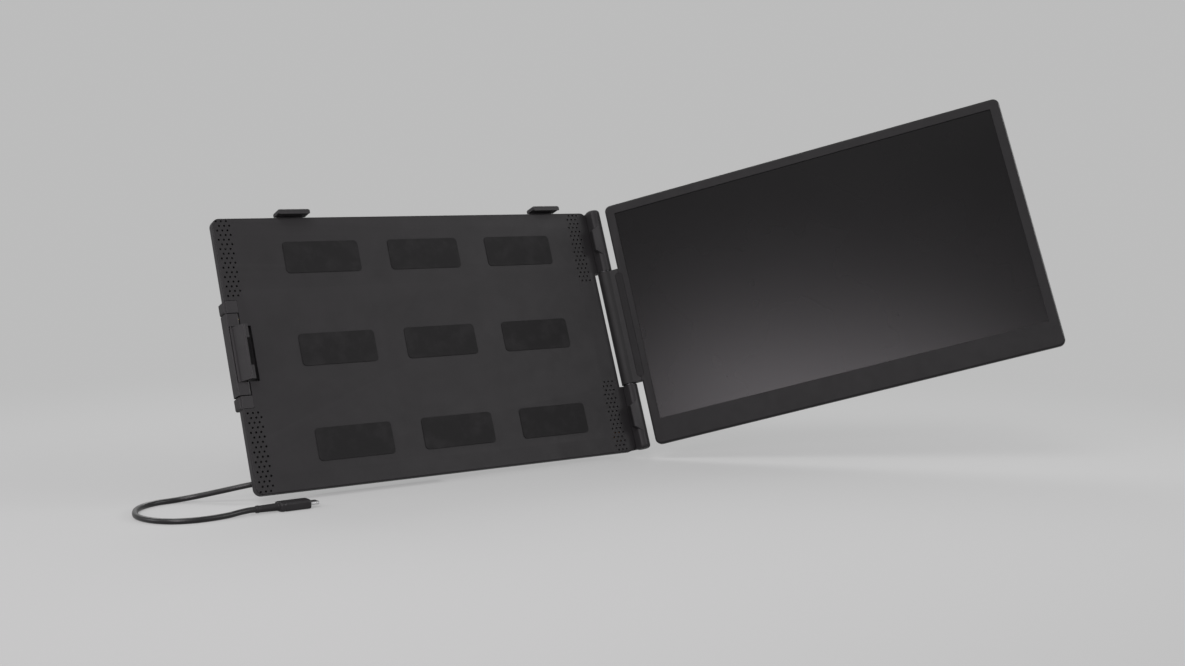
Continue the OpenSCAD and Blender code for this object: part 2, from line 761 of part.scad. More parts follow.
module clamp_jaw() {
    color([0.2, 0.2, 0.2]) leaned() difference() {
        union() {
            translate([0, 0, -jaw_h / 2]) linear_extrude(jaw_h) jaw_profile();
            for (side = [-1, 1])
                translate([0, 0, side * (jaw_h - claw_h) / 2 - claw_h / 2])
                    linear_extrude(claw_h)
                        round_rect(jaw_tip_x - 0.2, claw_mid_y - claw_t / 2, claw_tip_x,
                                   claw_back_y, 0.6);
        }
        translate([jaw_pin_x, jaw_pin_y, -jaw_h])
            cylinder(r = jaw_pin_d / 2 + run_gap, h = 2 * jaw_h);
        jaw_pad_shape(0);
    }
}

// Rubber facing set into each claw, on the side that meets the lid.
module jaw_pad_shape(clear) {
    for (side = [-1, 1])
        translate([0, 0, side * (jaw_h - claw_h) / 2])
            block([jaw_tip_x + 1.2 + clear, claw_back_y - jaw_pad_t + clear, -claw_h / 2 + 1 + clear],
                  [claw_tip_x - 0.4 - clear, claw_back_y + small, claw_h / 2 - 1 - clear]);
}

module jaw_pads() {
    color([0.1, 0.1, 0.1]) leaned() jaw_pad_shape(press_gap);
}

// Top hooks

module top_hook(x) {
    lip_back = -(lid_t + hook_pad_t + 0.2);
    leg_back = hook_leg_y + hook_leg_t;
    difference() {
        union() {
            // arm over the lid's top edge
            translate([x - hook_w / 2, 0, 0])
                rotate([90, 0, 90])
                    linear_extrude(hook_w)
                        round_rect(hook_front_y, hook_under_z, leg_back, hook_top_z, 1);
            // lip in front of the lid
            plate(x - hook_w / 2, hook_lip_z, x + hook_w / 2, hook_top_z - 0.2, hook_lip_r,
                  hook_front_y, lip_back);
            // leg that slides in the housing
            block([x - hook_leg_w / 2, hook_leg_y, half_h - side_wall - hook_leg_len],
                  [x + hook_leg_w / 2, leg_back, hook_under_z + 1]);
        }
        // window that saves weight in the leg
        block([x - hook_leg_w / 2 + 5, hook_leg_y - cut, half_h - side_wall - hook_leg_len + 5],
              [x + hook_leg_w / 2 - 5, leg_back + cut, half_h - side_wall - hook_leg_len + 15]);
    }
}

module top_hook_pad(x) {
    lip_back = -(lid_t + hook_pad_t + 0.2);
    block([x - hook_w / 2 + 1, lip_back, hook_lip_z + 0.2],
          [x + hook_w / 2 - 1, lip_back + hook_pad_t, hook_under_z]);
}

module top_hook_left() {
    color([0.2, 0.2, 0.2]) leaned() top_hook(hook_left_x);
}

module top_hook_right() {
    color([0.2, 0.2, 0.2]) leaned() top_hook(hook_right_x);
}

module top_hook_pad_left() {
    color([0.1, 0.1, 0.1]) leaned() top_hook_pad(hook_left_x);
}

module top_hook_pad_right() {
    color([0.1, 0.1, 0.1]) leaned() top_hook_pad(hook_right_x);
}

module hook_drag_pads() {
    top = half_h - side_wall - 4;
    color([0.15, 0.15, 0.16]) leaned()
        for (x = [hook_left_x, hook_right_x])
            block([x - hook_leg_w / 2 + 1, hook_leg_y + hook_leg_t + 0.1, top - drag_pad_h],
                  [x + hook_leg_w / 2 - 1, stiffener_front, top]);
}

// Hinge post

module post_column() {
    translate([post_x, post_y, post_z0])
        rotate_extrude() domed_section(post_r, half_h - post_z0, post_top_r);
}

// Upper half of the post; the lower one is its mirror image.
module post_half() {
    difference() {
        union() {
            difference() {
                post_column();
                // flat beside the lid, and the housing's edge
                block([post_x - 2 * post_r, post_y - 2 * post_r, 0],
                      [post_x - post_flat, slab_front, half_h + cut]);
                block([post_x - 2 * post_r, slab_front - seat_gap, 0],
                      [slab_right_x + seat_gap, slab_rear, half_h + cut]);
            }
            // web to the housing's edge
            translate([0, 0, post_z0])
                linear_extrude(half_h - post_z0 - 1)
                    polygon([[slab_right_x + seat_gap, slab_front],
                             [post_x, slab_front],
                             [post_x + 1.8, post_y + post_r - 0.4],
                             [slab_right_x + seat_gap, web_back]]);
            // root inside the tray
            block([slab_right_x - root_w, cavity_front + seat_gap, root_z0],
                  [slab_right_x + 1, cavity_rear - seat_gap, root_z1]);
            // hook round the lid's edge
            translate([0, grip_front + grip_t, grip_z])
                rotate([90, 0, 0])
                    linear_extrude(grip_t)
                        polygon([[post_x, -grip_h / 2], [grip_left_x, -grip_tip_h / 2],
                                 [grip_left_x, grip_tip_h / 2], [post_x, grip_h / 2]]);
        }
        // bore of the hinge shaft
        translate([post_x, post_y, post_z0 - cut])
            cylinder(r = shaft_d / 2 + press_gap, h = shaft_len - hinge_bush_len + cut);
        for (z = post_screw_z)
            rod_y(cavity_rear - 4.5, cavity_rear + cut, screw_r, post_screw_x, z);
    }
}

module post_upper() {
    color([0.2, 0.2, 0.2]) leaned() post_half();
}

module post_lower() {
    color([0.2, 0.2, 0.2]) leaned() mirror([0, 0, 1]) post_half();
}

// Rubber on the back of each post hook, turned forward over the hook's end.
module post_grip_pads() {
    back = grip_front + grip_t;
    end_x = grip_left_x - grip_pad_end;
    end_half = grip_tip_h / 2 - 0.3;
    color([0.1, 0.1, 0.1]) leaned()
        for (side = [-1, 1])
            translate([0, 0, side * grip_z]) {
                translate([0, back + grip_pad_t, 0])
                    rotate([90, 0, 0])
                        linear_extrude(grip_pad_t)
                            polygon([[post_x - post_flat, -grip_h / 2 + 3],
                                     [end_x, -end_half], [end_x, end_half],
                                     [post_x - post_flat, grip_h / 2 - 3]]);
                block([end_x, grip_front + 0.4, -end_half],
                      [grip_left_x, back + small, end_half]);
            }
}

module hinge_shaft() {
    translate([post_x, post_y, knuckle_half - hinge_bush_len])
        cylinder(r = shaft_d / 2, h = shaft_len);
}

module hinge_shaft_upper() {
    color([0.6, 0.6, 0.62]) leaned() hinge_shaft();
}

module hinge_shaft_lower() {
    color([0.6, 0.6, 0.62]) leaned() mirror([0, 0, 1]) hinge_shaft();
}

module friction_washers() {
    color([0.35, 0.35, 0.36]) leaned()
        for (side = [0, 1])
            mirror([0, 0, side])
                translate([post_x, post_y, post_z0 - washer_t])
                    difference() {
                        cylinder(r = post_r - 1, h = washer_t);
                        translate([0, 0, -cut])
                            cylinder(r = shaft_d / 2 + run_gap, h = washer_t + 2 * cut);
                    }
}

module housing_screws() {
    color([0.3, 0.3, 0.32]) leaned()
        for (side = [-1, 1], z = post_screw_z) {
            rod_y(cavity_rear - 4, slab_rear - 0.1, screw_r - press_gap, post_screw_x, side * z);
            rod_y(slab_rear - screw_head_t, slab_rear - 0.1, screw_head_r, post_screw_x, side * z);
        }
}

// Socket hump

module hub_cover() {
    color([0.2, 0.2, 0.2]) leaned() difference() {
        dished_plate(hub_x0, hub_z0, hub_x1, hub_z1, hub_corner_r, slab_rear, hub_rear, hub_edge_r);
        block([hub_x0 + hub_wall, slab_rear - cut, hub_z0 + hub_wall],
              [hub_x1 - hub_wall, hub_rear - hub_wall, hub_z1 - hub_wall]);
        // mouth of the socket
        block([hub_x0 - cut, socket_y - socket_t / 2 - seat_gap, socket_z - socket_w / 2 - seat_gap],
              [hub_x0 + hub_wall + cut, socket_y + socket_t / 2 + seat_gap,
               socket_z + socket_w / 2 + seat_gap]);
    }
}

module hub_board() {
    color([0.1, 0.3, 0.18]) leaned() {
        block([hub_x0 + hub_wall + gap, hub_board_y, hub_z0 + hub_wall + gap],
              [hub_x1 - hub_wall - gap, hub_board_y + board_t, hub_z1 - hub_wall - gap]);
        // controller and its passive parts
        for (part = [[20, 8], [34, 4], [44, 4], [58, 6]])
            translate([hub_x0 + part[0], hub_board_y + board_t - small, socket_z - part[1] / 2])
                cube([part[1], 0.9, part[1]]);
    }
}

module socket_tube(len, w, t, wall) {
    rotate([90, 0, 90]) linear_extrude(len) difference() {
        round_rect(-t / 2, -w / 2, t / 2, w / 2, t / 2 - small);
        round_rect(-t / 2 + wall, -w / 2 + wall, t / 2 - wall, w / 2 - wall,
                   t / 2 - wall - small);
    }
}

module usb_socket() {
    back_t = 0.6;
    color([0.75, 0.75, 0.77]) leaned() translate([socket_x0, socket_y, socket_z]) {
        socket_tube(socket_len, socket_w, socket_t, socket_wall);
        translate([socket_len - back_t, 0, 0])
            block([0, -socket_t / 2 + socket_wall - small, -socket_w / 2 + 1.5],
                  [back_t, socket_t / 2 - socket_wall + small, socket_w / 2 - 1.5]);
        block([1.4, -0.35, -3.3], [socket_len - back_t + small, 0.35, 3.3]);
    }
}

module signal_ribbon() {
    y1 = stiffener_front - seat_gap;
    x1 = slab_right_x - root_w - gap;
    color([0.85, 0.5, 0.15]) leaned() {
        block([ribbon_x0 - ribbon_w / 2, y1 - ribbon_t, socket_z - 1],
              [x1, y1, socket_z + ribbon_w - 1]);
        // drop through the tray to the socket board
        block([ribbon_x0 - ribbon_w / 2, y1 - ribbon_t, socket_z - 1],
              [ribbon_x0 + ribbon_w / 2, hub_board_y, socket_z - 1 + ribbon_t]);
    }
}

// Screen

module screen_bezel() {
    color([0.23, 0.23, 0.23]) swung() difference() {
        union() {
            translate([0, screen_front + bezel_back, 0])
                mirror([0, 1, 0])
                    dished_plate(screen_gap, -screen_half, screen_x1, screen_half,
                                 screen_corner_r, screen_front, bezel_back, bezel_edge_r);
            // square edge where the knuckle's tab meets the frame
            block([screen_gap, screen_front, -knuckle_half],
                  [screen_gap + bezel_edge_r + small, bezel_back, knuckle_half]);
        }
        block([picture_x0, screen_front - cut, picture_z0],
              [picture_x1, bezel_back + cut, picture_z1]);
        block([screen_gap + bezel_rim, screen_front + bezel_lip, -screen_half + bezel_rim],
              [screen_x1 - bezel_rim, bezel_back + cut, screen_half - bezel_rim]);
        // way for the hinge flange
        block([screen_gap - cut, lcd_rear, -flange_half - tab_gap],
              [screen_gap + bezel_rim + cut, bezel_back + cut, flange_half + tab_gap]);
        inlay_shape(seat_gap, screen_front - cut);
    }
}

module screen_back_cover() {
    color([0.2, 0.2, 0.2]) swung() difference() {
        dished_plate(screen_gap, -screen_half, screen_x1, screen_half, screen_corner_r,
                     bezel_back, screen_rear, cover_edge);
        block([screen_gap + cover_wall + 1.6, bezel_back - cut, -screen_half + cover_wall + 1.6],
              [screen_x1 - cover_wall - 1.6, cover_inner, screen_half - cover_wall - 1.6]);
        block([screen_gap - cut, bezel_back - cut, -flange_half - tab_gap],
              [screen_gap + cover_wall + 2, cover_inner, flange_half + tab_gap]);
        for (z = screen_screw_z) {
            rod_y(cover_inner - cut, screen_rear + cut, screw_r + 0.1, screen_screw_x, z);
            rod_y(screen_rear - screw_head_t, screen_rear + cut, screw_head_r + 0.1,
                  screen_screw_x, z);
        }
        for (i = [0 : 2])
            rod_y(cover_inner - cut, screen_rear + cut, button_d / 2 + 0.15,
                  button_x - i * button_pitch, button_z);
    }
}

module lcd_panel() {
    color([0.02, 0.02, 0.02]) swung()
        block([picture_x0 - lcd_over, lcd_front, picture_z0 - lcd_over_bottom],
              [picture_x1 + lcd_over, lcd_rear, picture_z1 + lcd_over]);
}

module backlight_unit() {
    color([0.85, 0.85, 0.86]) swung()
        block([picture_x0 - lcd_over, lcd_rear + seat_gap, picture_z0 - lcd_over_bottom],
              [picture_x1 + lcd_over, backlight_rear, picture_z1 + lcd_over]);
}

module display_board() {
    z0 = -screen_half + bezel_rim + gap;
    z1 = picture_z0 - lcd_over_bottom - gap;
    y1 = screen_front + bezel_lip + seat_gap;
    color([0.1, 0.3, 0.18]) swung()
        translate([screen_gap + display_board_in, y1, z0]) {
            cube([display_board_len, board_t, z1 - z0]);
            for (x = [chip_w : chip_pitch : display_board_len - 2 * chip_w])
                translate([x, board_t - small, 2]) cube([chip_w, 1, chip_w - 1]);
        }
}

// Strip with round ends, grown by clear, from y0 to the depth of its seat.
module inlay_shape(clear, y0) {
    plate(inlay_x0 - clear, -inlay_len / 2 - clear, inlay_x0 + inlay_w + clear,
          inlay_len / 2 + clear, inlay_w / 2 + clear - small, y0,
          screen_front + inlay_depth + clear);
}

module hinge_knuckle() {
    color([0.2, 0.2, 0.2]) swung() difference() {
        union() {
            translate([0, 0, -knuckle_half]) cylinder(r = post_r, h = knuckle_h);
            block([0, screen_front, -knuckle_half],
                  [screen_gap - tab_gap, tab_rear, knuckle_half]);
            block([screen_gap - 1, flange_front, -flange_half],
                  [flange_x1, cover_inner - seat_gap, flange_half]);
        }
        translate([0, 0, -knuckle_half - cut])
            cylinder(r = hinge_bush_d / 2 + press_gap, h = knuckle_h + 2 * cut);
        inlay_shape(seat_gap, screen_front - cut);
        for (z = screen_screw_z)
            rod_y(flange_front - cut, cover_inner + cut, screw_r, screen_screw_x, z);
    }
}

module hinge_bushes() {
    color([0.72, 0.6, 0.35]) swung()
        for (side = [0, 1])
            mirror([0, 0, side])
                translate([0, 0, knuckle_half - hinge_bush_len])
                    difference() {
                        cylinder(r = hinge_bush_d / 2, h = hinge_bush_len);
                        translate([0, 0, -cut])
                            cylinder(r = shaft_d / 2 + run_gap, h = hinge_bush_len + 2 * cut);
                    }
}

module knuckle_inlay() {
    color([0.27, 0.27, 0.27]) swung() inlay_shape(0, screen_front);
}

module screen_screws() {
    color([0.3, 0.3, 0.32]) swung()
        for (z = screen_screw_z) {
            rod_y(flange_front + 0.1, screen_rear - 0.1, screw_r - press_gap, screen_screw_x, z);
            rod_y(screen_rear - screw_head_t, screen_rear - 0.1, screw_head_r, screen_screw_x, z);
        }
}

// Front faces of the button parts, counted forward from the cover's inner face.
function button_flange_y() = cover_inner - seat_gap - button_flange_t;
function dome_y() = button_flange_y() - button_travel - seat_gap - dome_t;

module button_board() {
    color([0.1, 0.3, 0.18]) swung() {
        block([button_x - 2 * button_pitch - 5, dome_y() - board_t, button_z - 4.5],
              [button_x + 5, dome_y(), button_z + 4.5]);
        for (i = [0 : 2])
            rod_y(dome_y() - small, dome_y() + dome_t, 1.5, button_x - i * button_pitch, button_z);
    }
}

module button_cap(i) {
    swung() translate([button_x - i * button_pitch, 0, button_z]) {
        rod_y(button_flange_y(), cover_inner - seat_gap, button_d / 2 + button_rim, 0, 0);
        rod_y(cover_inner - seat_gap - small, screen_rear + button_proud, button_d / 2, 0, 0);
    }
}

module power_button() {
    color([0.3, 0.3, 0.3]) button_cap(0);
}

module plus_button() {
    color([0.3, 0.3, 0.3]) button_cap(1);
}

module minus_button() {
    color([0.3, 0.3, 0.3]) button_cap(2);
}

// Cable and plugs

// Plug pointing along +X, with its front face at the origin and its width along Z.
module plug_body() {
    translate([-plug_len, 0, 0])
        rotate([90, 0, 90])
            linear_extrude(plug_len)
                round_rect(-plug_t / 2, -plug_w / 2, plug_t / 2, plug_w / 2, plug_round);
}

module plug_shell() {
    socket_tube(shell_len, plug_shell_w, plug_shell_t, plug_shell_wall);
}

module strain_relief() {
    translate([-plug_len - relief_len, 0, 0])
        rotate([0, 90, 0])
            cylinder(r1 = cable_d / 2 + 0.2, r2 = relief_r, h = relief_len);
}

module at_device() {
    leaned() translate([device_plug_x, socket_y, socket_z]) children();
}

module at_laptop() {
    translate([laptop_plug_x, laptop_plug_y, laptop_plug_z]) rotate([90, 0, 0]) children();
}

module usb_cable() {
    color([0.08, 0.08, 0.08]) swept_tube(cable_route, cable_d / 2, cable_sides);
}

module laptop_plug_body() {
    color([0.1, 0.1, 0.1]) at_laptop() plug_body();
}

module laptop_plug_shell() {
    color([0.75, 0.75, 0.77]) at_laptop() plug_shell();
}

module laptop_strain_relief() {
    color([0.08, 0.08, 0.08]) at_laptop() strain_relief();
}

module device_plug_body() {
    color([0.1, 0.1, 0.1]) at_device() plug_body();
}

module device_plug_shell() {
    color([0.75, 0.75, 0.77]) at_device() plug_shell();
}

module device_strain_relief() {
    color([0.08, 0.08, 0.08]) at_device() strain_relief();
}

slab_tray();
slab_front_panel();
stiffener_sheet();
lid_pads();
clamp_housing();
clamp_rod_bushes();
clamp_springs();
post_upper();
post_lower();
post_grip_pads();
hinge_shaft_upper();
hinge_shaft_lower();
friction_washers();
hub_cover();
hub_board();
usb_socket();
signal_ribbon();
hook_drag_pads();
housing_screws();
clamp_sleeve();
clamp_rods();
rod_collars();
jaw_pin();
clamp_jaw();
jaw_pads();
top_hook_left();
top_hook_pad_left();
top_hook_right();
top_hook_pad_right();
screen_bezel();
screen_back_cover();
lcd_panel();
backlight_unit();
display_board();
hinge_knuckle();
hinge_bushes();
knuckle_inlay();
screen_screws();
button_board();
power_button();
plus_button();
minus_button();
usb_cable();
laptop_plug_body();
laptop_plug_shell();
laptop_strain_relief();
device_plug_body();
device_plug_shell();
device_strain_relief();
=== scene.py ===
import json
import math

import bmesh
import bpy
from mathutils import Matrix, Vector


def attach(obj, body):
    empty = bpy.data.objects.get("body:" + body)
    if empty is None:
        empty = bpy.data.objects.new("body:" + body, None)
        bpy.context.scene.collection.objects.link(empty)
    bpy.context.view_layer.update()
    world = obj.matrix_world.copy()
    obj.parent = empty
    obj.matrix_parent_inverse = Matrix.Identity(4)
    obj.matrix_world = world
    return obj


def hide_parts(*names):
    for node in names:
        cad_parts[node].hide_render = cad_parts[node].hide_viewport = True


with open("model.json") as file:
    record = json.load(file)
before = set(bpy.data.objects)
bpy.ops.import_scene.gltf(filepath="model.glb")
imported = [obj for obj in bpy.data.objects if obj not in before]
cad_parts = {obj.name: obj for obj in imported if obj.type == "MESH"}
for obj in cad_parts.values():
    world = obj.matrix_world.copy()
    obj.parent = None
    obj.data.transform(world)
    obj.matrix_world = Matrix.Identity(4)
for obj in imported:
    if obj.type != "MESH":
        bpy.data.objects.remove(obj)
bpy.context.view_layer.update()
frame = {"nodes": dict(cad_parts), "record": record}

# The scene uses the part's own frame, in metres. Sizes below are in millimetres and go
# through mm(). "Lid" coordinates are upright against the lid, and LEAN tips them back.
# "Screen" coordinates run along the screen from the hinge axis, and SWING places them.

LID_LEAN = math.radians(20.3)
SCREEN_SWING = math.radians(46.94)
HINGE_X = 161.4
HINGE_Y = -2.5
MILLIMETRE = 0.001

nodes = frame["nodes"]


def mm(*values):
    """Millimetres to metres."""
    if len(values) == 1:
        return values[0] * MILLIMETRE
    return tuple(v * MILLIMETRE for v in values)


LEAN = Matrix.Rotation(-LID_LEAN, 4, "X")
SWING = LEAN @ Matrix.Translation(mm(HINGE_X, HINGE_Y, 0)) @ Matrix.Rotation(-SCREEN_SWING, 4, "Z")


def new_object(name, data):
    """Object with the data, linked into the scene."""
    made = bpy.data.objects.new(name, data)
    bpy.context.scene.collection.objects.link(made)
    return made


# ---------------------------------------------------------------- camera

CAMERA_AT = (-0.57991, -1.04782, 0.10135)
CAMERA_AZIMUTH = math.radians(34.443)
CAMERA_ELEVATION = math.radians(-4.643)
CAMERA_ROLL = math.radians(-0.634)
CAMERA_LENS = 47.96


def make_camera():
    """Camera at the photograph's place, looking at the hinge side of the part."""
    data = bpy.data.cameras.new("camera")
    data.sensor_width = 36
    data.lens = CAMERA_LENS
    data.clip_start = 0.01
    data.clip_end = 100
    camera = new_object("camera", data)
    level = math.cos(CAMERA_ELEVATION)
    forward = Vector((math.sin(CAMERA_AZIMUTH) * level, math.cos(CAMERA_AZIMUTH) * level,
                      math.sin(CAMERA_ELEVATION)))
    right = Vector((math.cos(CAMERA_AZIMUTH), -math.sin(CAMERA_AZIMUTH), 0))
    up = right.cross(forward)
    rolled_right = right * math.cos(CAMERA_ROLL) + up * math.sin(CAMERA_ROLL)
    rolled_up = up * math.cos(CAMERA_ROLL) - right * math.sin(CAMERA_ROLL)
    turn = Matrix((rolled_right, rolled_up, -forward)).transposed().to_4x4()
    camera.matrix_world = Matrix.Translation(CAMERA_AT) @ turn
    bpy.context.scene.camera = camera


make_camera()


# ---------------------------------------------------------------- node helpers

class Graph:
    """Short names for the shader nodes that the materials use."""

    def __init__(self, material):
        material.use_nodes = True
        self.tree = material.node_tree
        self.tree.nodes.clear()
        self.output = self.tree.nodes.new("ShaderNodeOutputMaterial")
        own = self.tree.nodes.new("ShaderNodeTexCoord")
        self.coordinates = own.outputs["Object"]
        self.normals = own.outputs["Normal"]

    def add(self, kind, inputs=None, **settings):
        """Node with each input linked to a socket or set to a value."""
        node = self.tree.nodes.new(kind)
        for key, value in settings.items():
            setattr(node, key, value)
        for key, value in (inputs or {}).items():
            if isinstance(value, bpy.types.NodeSocket):
                self.tree.links.new(value, node.inputs[key])
            else:
                node.inputs[key].default_value = value
        return node

    def noise(self, scale, detail, roughness=0.55, vector=None):
        return self.add("ShaderNodeTexNoise", {"Vector": vector or self.coordinates,
                                               "Scale": scale, "Detail": detail,
                                               "Roughness": roughness}).outputs["Fac"]

    def stretched(self, scale):
        """Object coordinates scaled along each axis, for brushed or drawn finishes."""
        return self.add("ShaderNodeMapping", {"Vector": self.coordinates,
                                              "Scale": scale}).outputs["Vector"]

    def grey_ramp(self, factor, low, high, start=0.3, end=0.7):
        """Grey that goes from low to high while the factor goes from start to end."""
        node = self.add("ShaderNodeValToRGB", {"Fac": factor})
        for element, place, grey in zip(node.color_ramp.elements, (start, end), (low, high)):
            element.position = place
            element.color = (grey, grey, grey, 1.0)
        return node.outputs["Color"]

    def math(self, operation, a, b, clamp=False):
        return self.add("ShaderNodeMath", {0: a, 1: b}, operation=operation,
                        use_clamp=clamp).outputs[0]

    def mix(self, factor, a, b, blend="MIX"):
        return self.add("ShaderNodeMix", {"Factor": factor, 6: a, 7: b}, data_type="RGBA",
                        blend_type=blend).outputs[2]

    def varied(self, factor, low, spread, clamp=False):
        """Value that rises from low by the spread while the factor goes from 0 to 1."""
        return self.math("ADD", self.math("MULTIPLY", factor, spread), low, clamp=clamp)

    def mottled(self, factor, dark, light, start=0.3, end=0.7):
        """Colour that goes from dark to light while the factor goes from start to end."""
        return self.mix(self.grey_ramp(factor, 0.0, 1.0, start, end), dark, light)

    def bump(self, height, strength, distance):
        return self.add("ShaderNodeBump", {"Height": height, "Strength": strength,
                                           "Distance": distance}).outputs["Normal"]

    def pointiness(self):
        return self.add("ShaderNodeNewGeometry").outputs["Pointiness"]

    def surface(self, inputs):
        """Principled shader on the material's surface."""
        shader = self.add("ShaderNodeBsdfPrincipled", inputs)
        self.tree.links.new(shader.outputs["BSDF"], self.output.inputs["Surface"])


def new_graph(name):
    """New material and the graph of its nodes."""
    material = bpy.data.materials.new(name)
    return material, Graph(material)


def shade(colour, factor):
    """Colour made lighter or darker, with an alpha of 1."""
    return (*[min(c * factor, 1.0) for c in colour], 1.0)


# ---------------------------------------------------------------- materials

EDGE_WEAR = 0.35
RIM_ROUGHNESS = 0.42


def moulded_plastic(name, colour, roughness=0.5, grain=2400.0, grain_depth=0.00003,
                    variation=0.10, specular=0.13, face=None):
    """Moulded plastic with a fine spark-eroded grain, faint handling marks and worn edges.

    Where the direction of its grained face is given, the edges that turn away from it are
    smoother.
    """
    material, graph = new_graph(name)
    grain_height = graph.noise(grain, detail=2.0, roughness=0.6)
    blotch = graph.noise(38.0, detail=4.0)
    smear = graph.noise(140.0, detail=3.0)
    tint = graph.mottled(blotch, shade(colour, 1 - variation), shade(colour, 1 + variation))
    speckle = graph.grey_ramp(grain_height, 0.90, 1.10, start=0.35, end=0.65)
    tint = graph.mix(1.0, tint, speckle, "MULTIPLY")
    worn = graph.grey_ramp(graph.pointiness(), 0.0, EDGE_WEAR, start=0.515, end=0.6)
    tint = graph.mix(worn, tint, shade(colour, 1.8))
    rough = graph.varied(smear, low=roughness - 0.08, spread=0.16)
    rough = graph.math("SUBTRACT", rough, graph.math("MULTIPLY", worn, 0.1), clamp=True)
    if face is not None:
        towards = graph.add("ShaderNodeVectorMath", {0: graph.normals, 1: face},
                            operation="DOT_PRODUCT").outputs["Value"]
        on_rim = graph.grey_ramp(towards, 1.0, 0.0, start=0.94, end=0.995)
        rough = graph.mix(on_rim, rough, (RIM_ROUGHNESS,) * 3 + (1,))
    graph.surface({"Base Color": tint, "Roughness": rough, "IOR": 1.5,
                   "Specular IOR Level": specular,
                   "Normal": graph.bump(grain_height, strength=0.3, distance=grain_depth)})
    return material


def soft_rubber(name, colour):
    """Matte rubber with a fine leathery grain and a dusty bloom."""
    material, graph = new_graph(name)
    pores = graph.noise(3200.0, detail=3.0, roughness=0.65)
    bloom = graph.noise(90.0, detail=5.0, roughness=0.6)
    tint = graph.mottled(bloom, shade(colour, 0.85), shade(colour, 1.5), start=0.45, end=0.75)
    rough = graph.varied(bloom, low=0.65, spread=0.15, clamp=True)
    graph.surface({"Base Color": tint, "Roughness": rough, "Specular IOR Level": 0.12,
                   "Normal": graph.bump(pores, strength=0.4, distance=0.00004)})
    return material


def satin_display(name):
    """Anti-glare display surface: near black, with a faint unevenness in its haze."""
    material, graph = new_graph(name)
    cloud = graph.noise(12.0, detail=3.0)
    tint = graph.mottled(cloud, (0.0030, 0.0028, 0.0030, 1), (0.0036, 0.0034, 0.0036, 1))
    rough = graph.varied(cloud, low=0.245, spread=0.02)
    graph.surface({"Base Color": tint, "Roughness": rough, "IOR": 1.5,
                   "Specular IOR Level": 0.12})
    return material


def drawn_metal(name, colour, roughness, grain=(900.0, 40.0, 900.0)):
    """Metal with fine drawing or brushing lines and dull spots."""
    material, graph = new_graph(name)
    lines = graph.noise(1.0, detail=3.0, roughness=0.6, vector=graph.stretched(grain))
    spots = graph.noise(260.0, detail=4.0)
    tint = graph.mottled(spots, shade(colour, 0.86), shade(colour, 1.08))
    rough = graph.varied(lines, low=roughness - 0.06, spread=0.18, clamp=True)
    graph.surface({"Base Color": tint, "Metallic": 1.0, "Roughness": rough,
                   "Normal": graph.bump(lines, strength=0.25, distance=0.00001)})
    return material


def sintered_bronze(name):
    """Porous sintered bronze with oil-darkened pores."""
    material, graph = new_graph(name)
    cells = graph.add("ShaderNodeTexVoronoi", {"Vector": graph.coordinates,
                                               "Scale": 3000.0}).outputs["Distance"]
    tint = graph.mottled(cells, (0.16, 0.11, 0.05, 1), (0.60, 0.45, 0.22, 1), start=0.05,
                         end=0.35)
    graph.surface({"Base Color": tint, "Metallic": 1.0, "Roughness": 0.45,
                   "Normal": graph.bump(cells, strength=0.3, distance=0.00003)})
    return material


def jacket(name):
    """Extruded cable jacket: black, semi-gloss, with faint drawing marks."""
    material, graph = new_graph(name)
    mottle = graph.noise(420.0, detail=3.0)
    dull = graph.noise(60.0, detail=4.0)
    tint = graph.mottled(mottle, (0.0070, 0.0068, 0.0071, 1), (0.0100, 0.0097, 0.0102, 1))
    rough = graph.varied(dull, low=0.27, spread=0.14)
    graph.surface({"Base Color": tint, "Roughness": rough, "Specular IOR Level": 0.3,
                   "Normal": graph.bump(mottle, strength=0.12, distance=0.00003)})
    return material


def solder_mask(name):
    """Green board with fine traces and pale pads under the mask."""
    material, graph = new_graph(name)
    brick = graph.add("ShaderNodeTexBrick", {
        "Vector": graph.coordinates, "Scale": 220.0, "Mortar Size": 0.035,
        "Color1": (0.020, 0.120, 0.055, 1), "Color2": (0.026, 0.150, 0.070, 1),
        "Mortar": (0.012, 0.070, 0.032, 1)}, offset=0.37).outputs["Color"]
    pads = graph.grey_ramp(graph.noise(700.0, detail=1.0), 0.0, 1.0, start=0.66, end=0.69)
    tint = graph.mix(pads, brick, (0.42, 0.40, 0.36, 1))
    graph.surface({"Base Color": tint, "Roughness": 0.38,
                   "Normal": graph.bump(pads, strength=0.4, distance=0.00004)})
    return material


def fibre_felt(name):
    """Pressed black felt with stray fibres."""
    material, graph = new_graph(name)
    fibres = graph.noise(1.0, detail=4.0, roughness=0.7,
                         vector=graph.stretched((2600.0, 700.0, 1500.0)))
    tint = graph.mottled(fibres, (0.022, 0.022, 0.024, 1), (0.070, 0.070, 0.076, 1))
    graph.surface({"Base Color": tint, "Roughness": 0.95, "Sheen Weight": 0.3,
                   "Sheen Roughness": 0.6,
                   "Normal": graph.bump(fibres, strength=0.7, distance=0.0001)})
    return material


def milky_sheet(name, colour, roughness, scale):
    """Translucent-looking film or light guide with a faint cloudy print."""
    material, graph = new_graph(name)
    cloud = graph.noise(scale, detail=4.0)
    tint = graph.mottled(cloud, shade(colour, 0.92), shade(colour, 1.05))
    graph.surface({"Base Color": tint, "Roughness": roughness,
                   "Normal": graph.bump(cloud, strength=0.15, distance=0.00002)})
    return material


